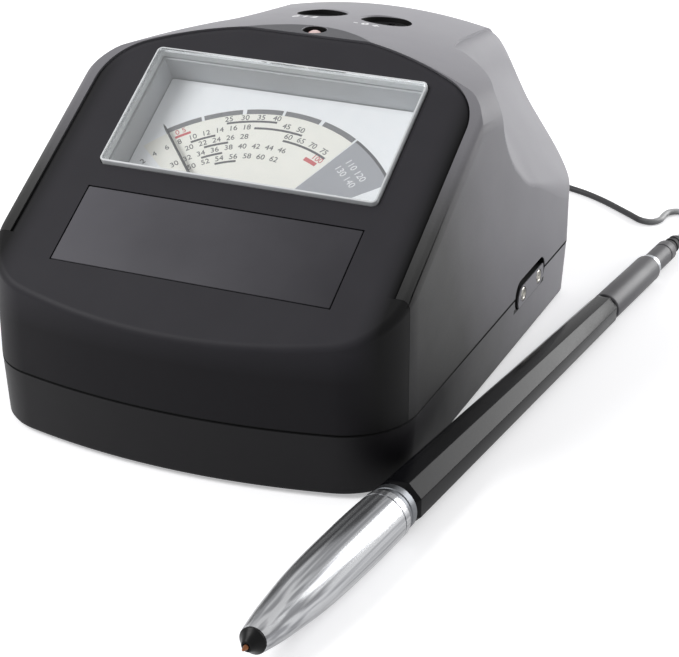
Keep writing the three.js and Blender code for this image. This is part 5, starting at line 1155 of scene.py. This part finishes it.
# %% Test station
slant = math.atan2(0.3, TEST_HEIGHT)
inner_face, plate_back, GROOVE_DEPTH = HALF_WIDTH - WALL - GAP, HALF_WIDTH - 6.6, 3.6
test = cut(side_slot("test", plate_back, HALF_WIDTH - 0.1, -GAP),
           side_slot("flange", inner_face - 1.6, inner_face, 1.7),
           "UNION")
shelf = moved(side_slot("shelf", HALF_WIDTH - 9, HALF_WIDTH + 6, -GAP), at(0, 3.2, -2.7))
cut(test, cut(side_slot("groove", HALF_WIDTH - GROOVE_DEPTH, HALF_WIDTH + 5, 1), shelf))
SLANTED = at(HALF_WIDTH - 0.1, TEST_Y, SEAM - TEST_HEIGHT / 2) @ turn(-math.degrees(slant), "Y")
cut(test, moved(block("slant", (0, 30), (-40, 40), (-30, 30)), SLANTED))
station = moulded("test station grey", "grey_housing", "7d7c81", "88878c", 0.5, strength=0.25)
# Painted shade: the test plate is near black where it lies deeper than half a millimetre inside the side wall.
deep = station.drawn("X") < HALF_WIDTH - 0.55
station.set("Base Color", station.blend(deep, station.blend(station.noise(0.2, 2), "7d7c81", "88878c"), PAINTED_SHADE))
for side in (-1, 1):
    disc_place = SLANTED @ at(0, 1.8 + side * 6.7, 3.1) @ turn(90, "Y")
    cut(test, moved(turned("seat", [(2.15, -0.9), (2.15, 6)], 48), disc_place))
    disc = turned("disc", [(1.9, -0.75), (1.9, -0.12), (1.75, 0), (1.35, 0), (1.2, -0.1), (0.5, -0.1), (0.4, -0.3),
                           (0.2, -0.3)], 48)
    settle(disc, BODY @ disc_place, plated.material, "test_disc_1" if side < 0 else "test_disc_2")
settle(test, BODY, station.material, "test_plate")

# %% Jack and gland in the rear wall
back, flange = BODY_LENGTH + GAP, 7.0
jack = turned("jack", [(flange, back - 12), (flange, 151.3), (4.6, 151.3), (4.6, back - 0.25),
                       (4.35, back), (3.4, back),
                       (3.1, back - 0.3), (3.1, back - 9.6), (1, back - 9.6), (1, back - 2.6), (0.6, back - 2.0),
                       (0.2, back - 1.9)], 64)
settle(jack, BODY @ at(JACK_X, 0, SOCKET_HEIGHT) @ UPRIGHT_TO_Y, insulator_black.material, "dc_jack")
gland_line = [(1.3, 148.9), (5.5, 148.9), (5.5, 151.3), (3.1, 151.3), (3.1, 154.3), (3.35, 154.4), (3.35, 155.6)]
for i in range(5):
    r, y = 3.15 - 0.24 * i, 156.2 + 1.9 * i
    gland_line += [(r - 0.45, y - 0.35), (r - 0.45, y + 0.1), (r, y + 0.35), (r - 0.05, y + 1.15)]
gland_line += [(1.75, 165.7), (1.6, 166), (1.3, 166), (1.3, 148.9)]
settle(turned("gland", gland_line, 48), BODY @ at(GLAND_X, 0, SOCKET_HEIGHT) @ UPRIGHT_TO_Y, gland_rubber.material,
       "cord_gland")

# %% Battery door
door = block("door", (-DOOR_HALF, DOOR_HALF), (91.4, 152), (FOOT_GAP, 3.4), edge=0.2)
cut(door, block("tongues", (-DOOR_HALF - TONGUE, DOOR_HALF + TONGUE), (91.4, 152), (2.2, 3.4)), "UNION")
for i in range(5):
    y = 148.4 - 3.2 * i
    cut(door, block("grip", (-15, 15), (y, y + 1.7), (-2, 1.6), edge=0.3))
settle(door, BODY, tray.material, "battery_door", body="battery_hatch")

# %% Feet and case screws
foot = turned("foot", [(4.4, 0), (4.75, 0.12), (4.95, 0.4), (5, 0.8), (5, 1.7), (0.5, 1.7)], 64)
for i, (x, y) in enumerate(FEET):
    settle(copied(foot, "foot"), BODY @ at(x, y, 0), rubber.material, f"rubber_foot_{i + 1}")
bpy.data.objects.remove(foot)
screw = turned("screw", [(2.3, 5.6), (2.75, 5.75), (2.9, 6.2), (2.9, 7.6), (1.45, 7.6),
                         (1.45, 26.2), (0.3, 27.6)], 40)
for angle in (0, 90):
    cut(screw, moved(block("cross", (-0.35, 0.35), (-1.9, 1.9), (5, 6.7)), turn(angle, "Z")))
for i, (x, y) in enumerate(SCREWS):
    settle(copied(screw, "screw"), BODY @ at(x, y, 0), steel.material, f"case_screw_{i + 1}")
bpy.data.objects.remove(screw)

# %% [markdown]
# ## Nodes that keep their CAD shape
# What is hidden inside the housing keeps its CAD mesh and only gets its finish.

# %% Finishes of the remaining nodes
KEPT = {
    "battery_box": black, "battery_contact_front": plated, "battery_contact_rear": plated, "main_board": board_green,
    "board_screw_1": steel, "board_screw_2": steel, "board_screw_3": steel, "board_screw_4": steel,
    "battery_cell_1": jacket, "battery_cell_2": jacket, "battery_cell_3": jacket, "battery_cell_4": jacket,
    "meter_case": case_grey, "meter_magnet": dark_metal, "meter_core": steel, "meter_bridge": brass,
    "moving_coil": winding, "lamp_holder": black, "power_switch": steel, "calibrate_potentiometer": steel,
    "control_board": board_green, "tip_spring": steel, "heater_rod": ceramic, "probe_lead": rubber,
}
for name, finish in KEPT.items():
    mesh = nodes[name].data
    mesh.materials.clear()
    mesh.materials.append(finish.material)
print("nodes kept:", len(KEPT), "still undressed:",
      sorted(n for n, o in nodes.items() if not o.hide_render and n not in KEPT))

# %% [markdown]
# ## Floor and light
# A plain white floor takes the soft shadow. One wide lamp at the front left and above, one at the rear right,
# and an even pale world light the tester at a plain level.

# %% Floor
bpy.ops.object.select_all(action="DESELECT")
bpy.ops.mesh.primitive_plane_add(size=60, location=(0, 0, 0))
floor = added("floor")
floor_white = Finish("floor white", "", "c4c4c5", 0.6, specular_ior_level=0.0)
seen = functools.reduce(Value.most, [floor_white.add("LightPath", output=f"Is {ray} Ray")
                                     for ray in ("Camera", "Glossy", "Transmission")])
floor_white.set("Base Color", floor_white.blend(seen, "77777a", "f4f4f5"))
floor_white.set("Emission Color", floor_white.blend(seen, "000000", "a8a8a9"))
floor_white.set("Emission Strength", 1.0)
floor.data.materials.append(floor_white.material)


# %% Lamps and world
def area_lamp(name, place, toward, size, watts):
    data = bpy.data.lights.new(name, "AREA")
    data.shape, data.size, data.energy = "DISK", size, watts
    light = bpy.data.objects.new(name, data)
    light.location = place
    light.rotation_euler = (Vector(toward) - Vector(place)).to_track_quat("-Z", "Y").to_euler()
    bpy.context.scene.collection.objects.link(light)
    return light


area_lamp("front left", (-0.8, -0.6, 0.95), (0, 0, 0.05), 0.8, 12)
area_lamp("rear right", (0.68, 1.0, 0.48), (0, 0, 0.05), 0.85, 12)
world = bpy.data.worlds.new("studio")
bpy.context.scene.world = world
world.use_nodes = True
tree = world.node_tree
background = tree.nodes["Background"]
background.inputs["Color"].default_value = (1, 1, 1, 1)
rays = tree.nodes.new("ShaderNodeLightPath")
seen = rays.outputs["Is Camera Ray"]
for ray in ("Is Glossy Ray", "Is Transmission Ray"):
    most = tree.nodes.new("ShaderNodeMath")
    most.operation = "MAXIMUM"
    tree.links.new(seen, most.inputs[0])
    tree.links.new(rays.outputs[ray], most.inputs[1])
    seen = most.outputs[0]
strength = tree.nodes.new("ShaderNodeMapRange")
strength.inputs["To Min"].default_value, strength.inputs["To Max"].default_value = 0.42, 1.0
tree.links.new(seen, strength.inputs["Value"])
tree.links.new(strength.outputs["Result"], background.inputs["Strength"])
bpy.context.scene.view_settings.view_transform = "Standard"
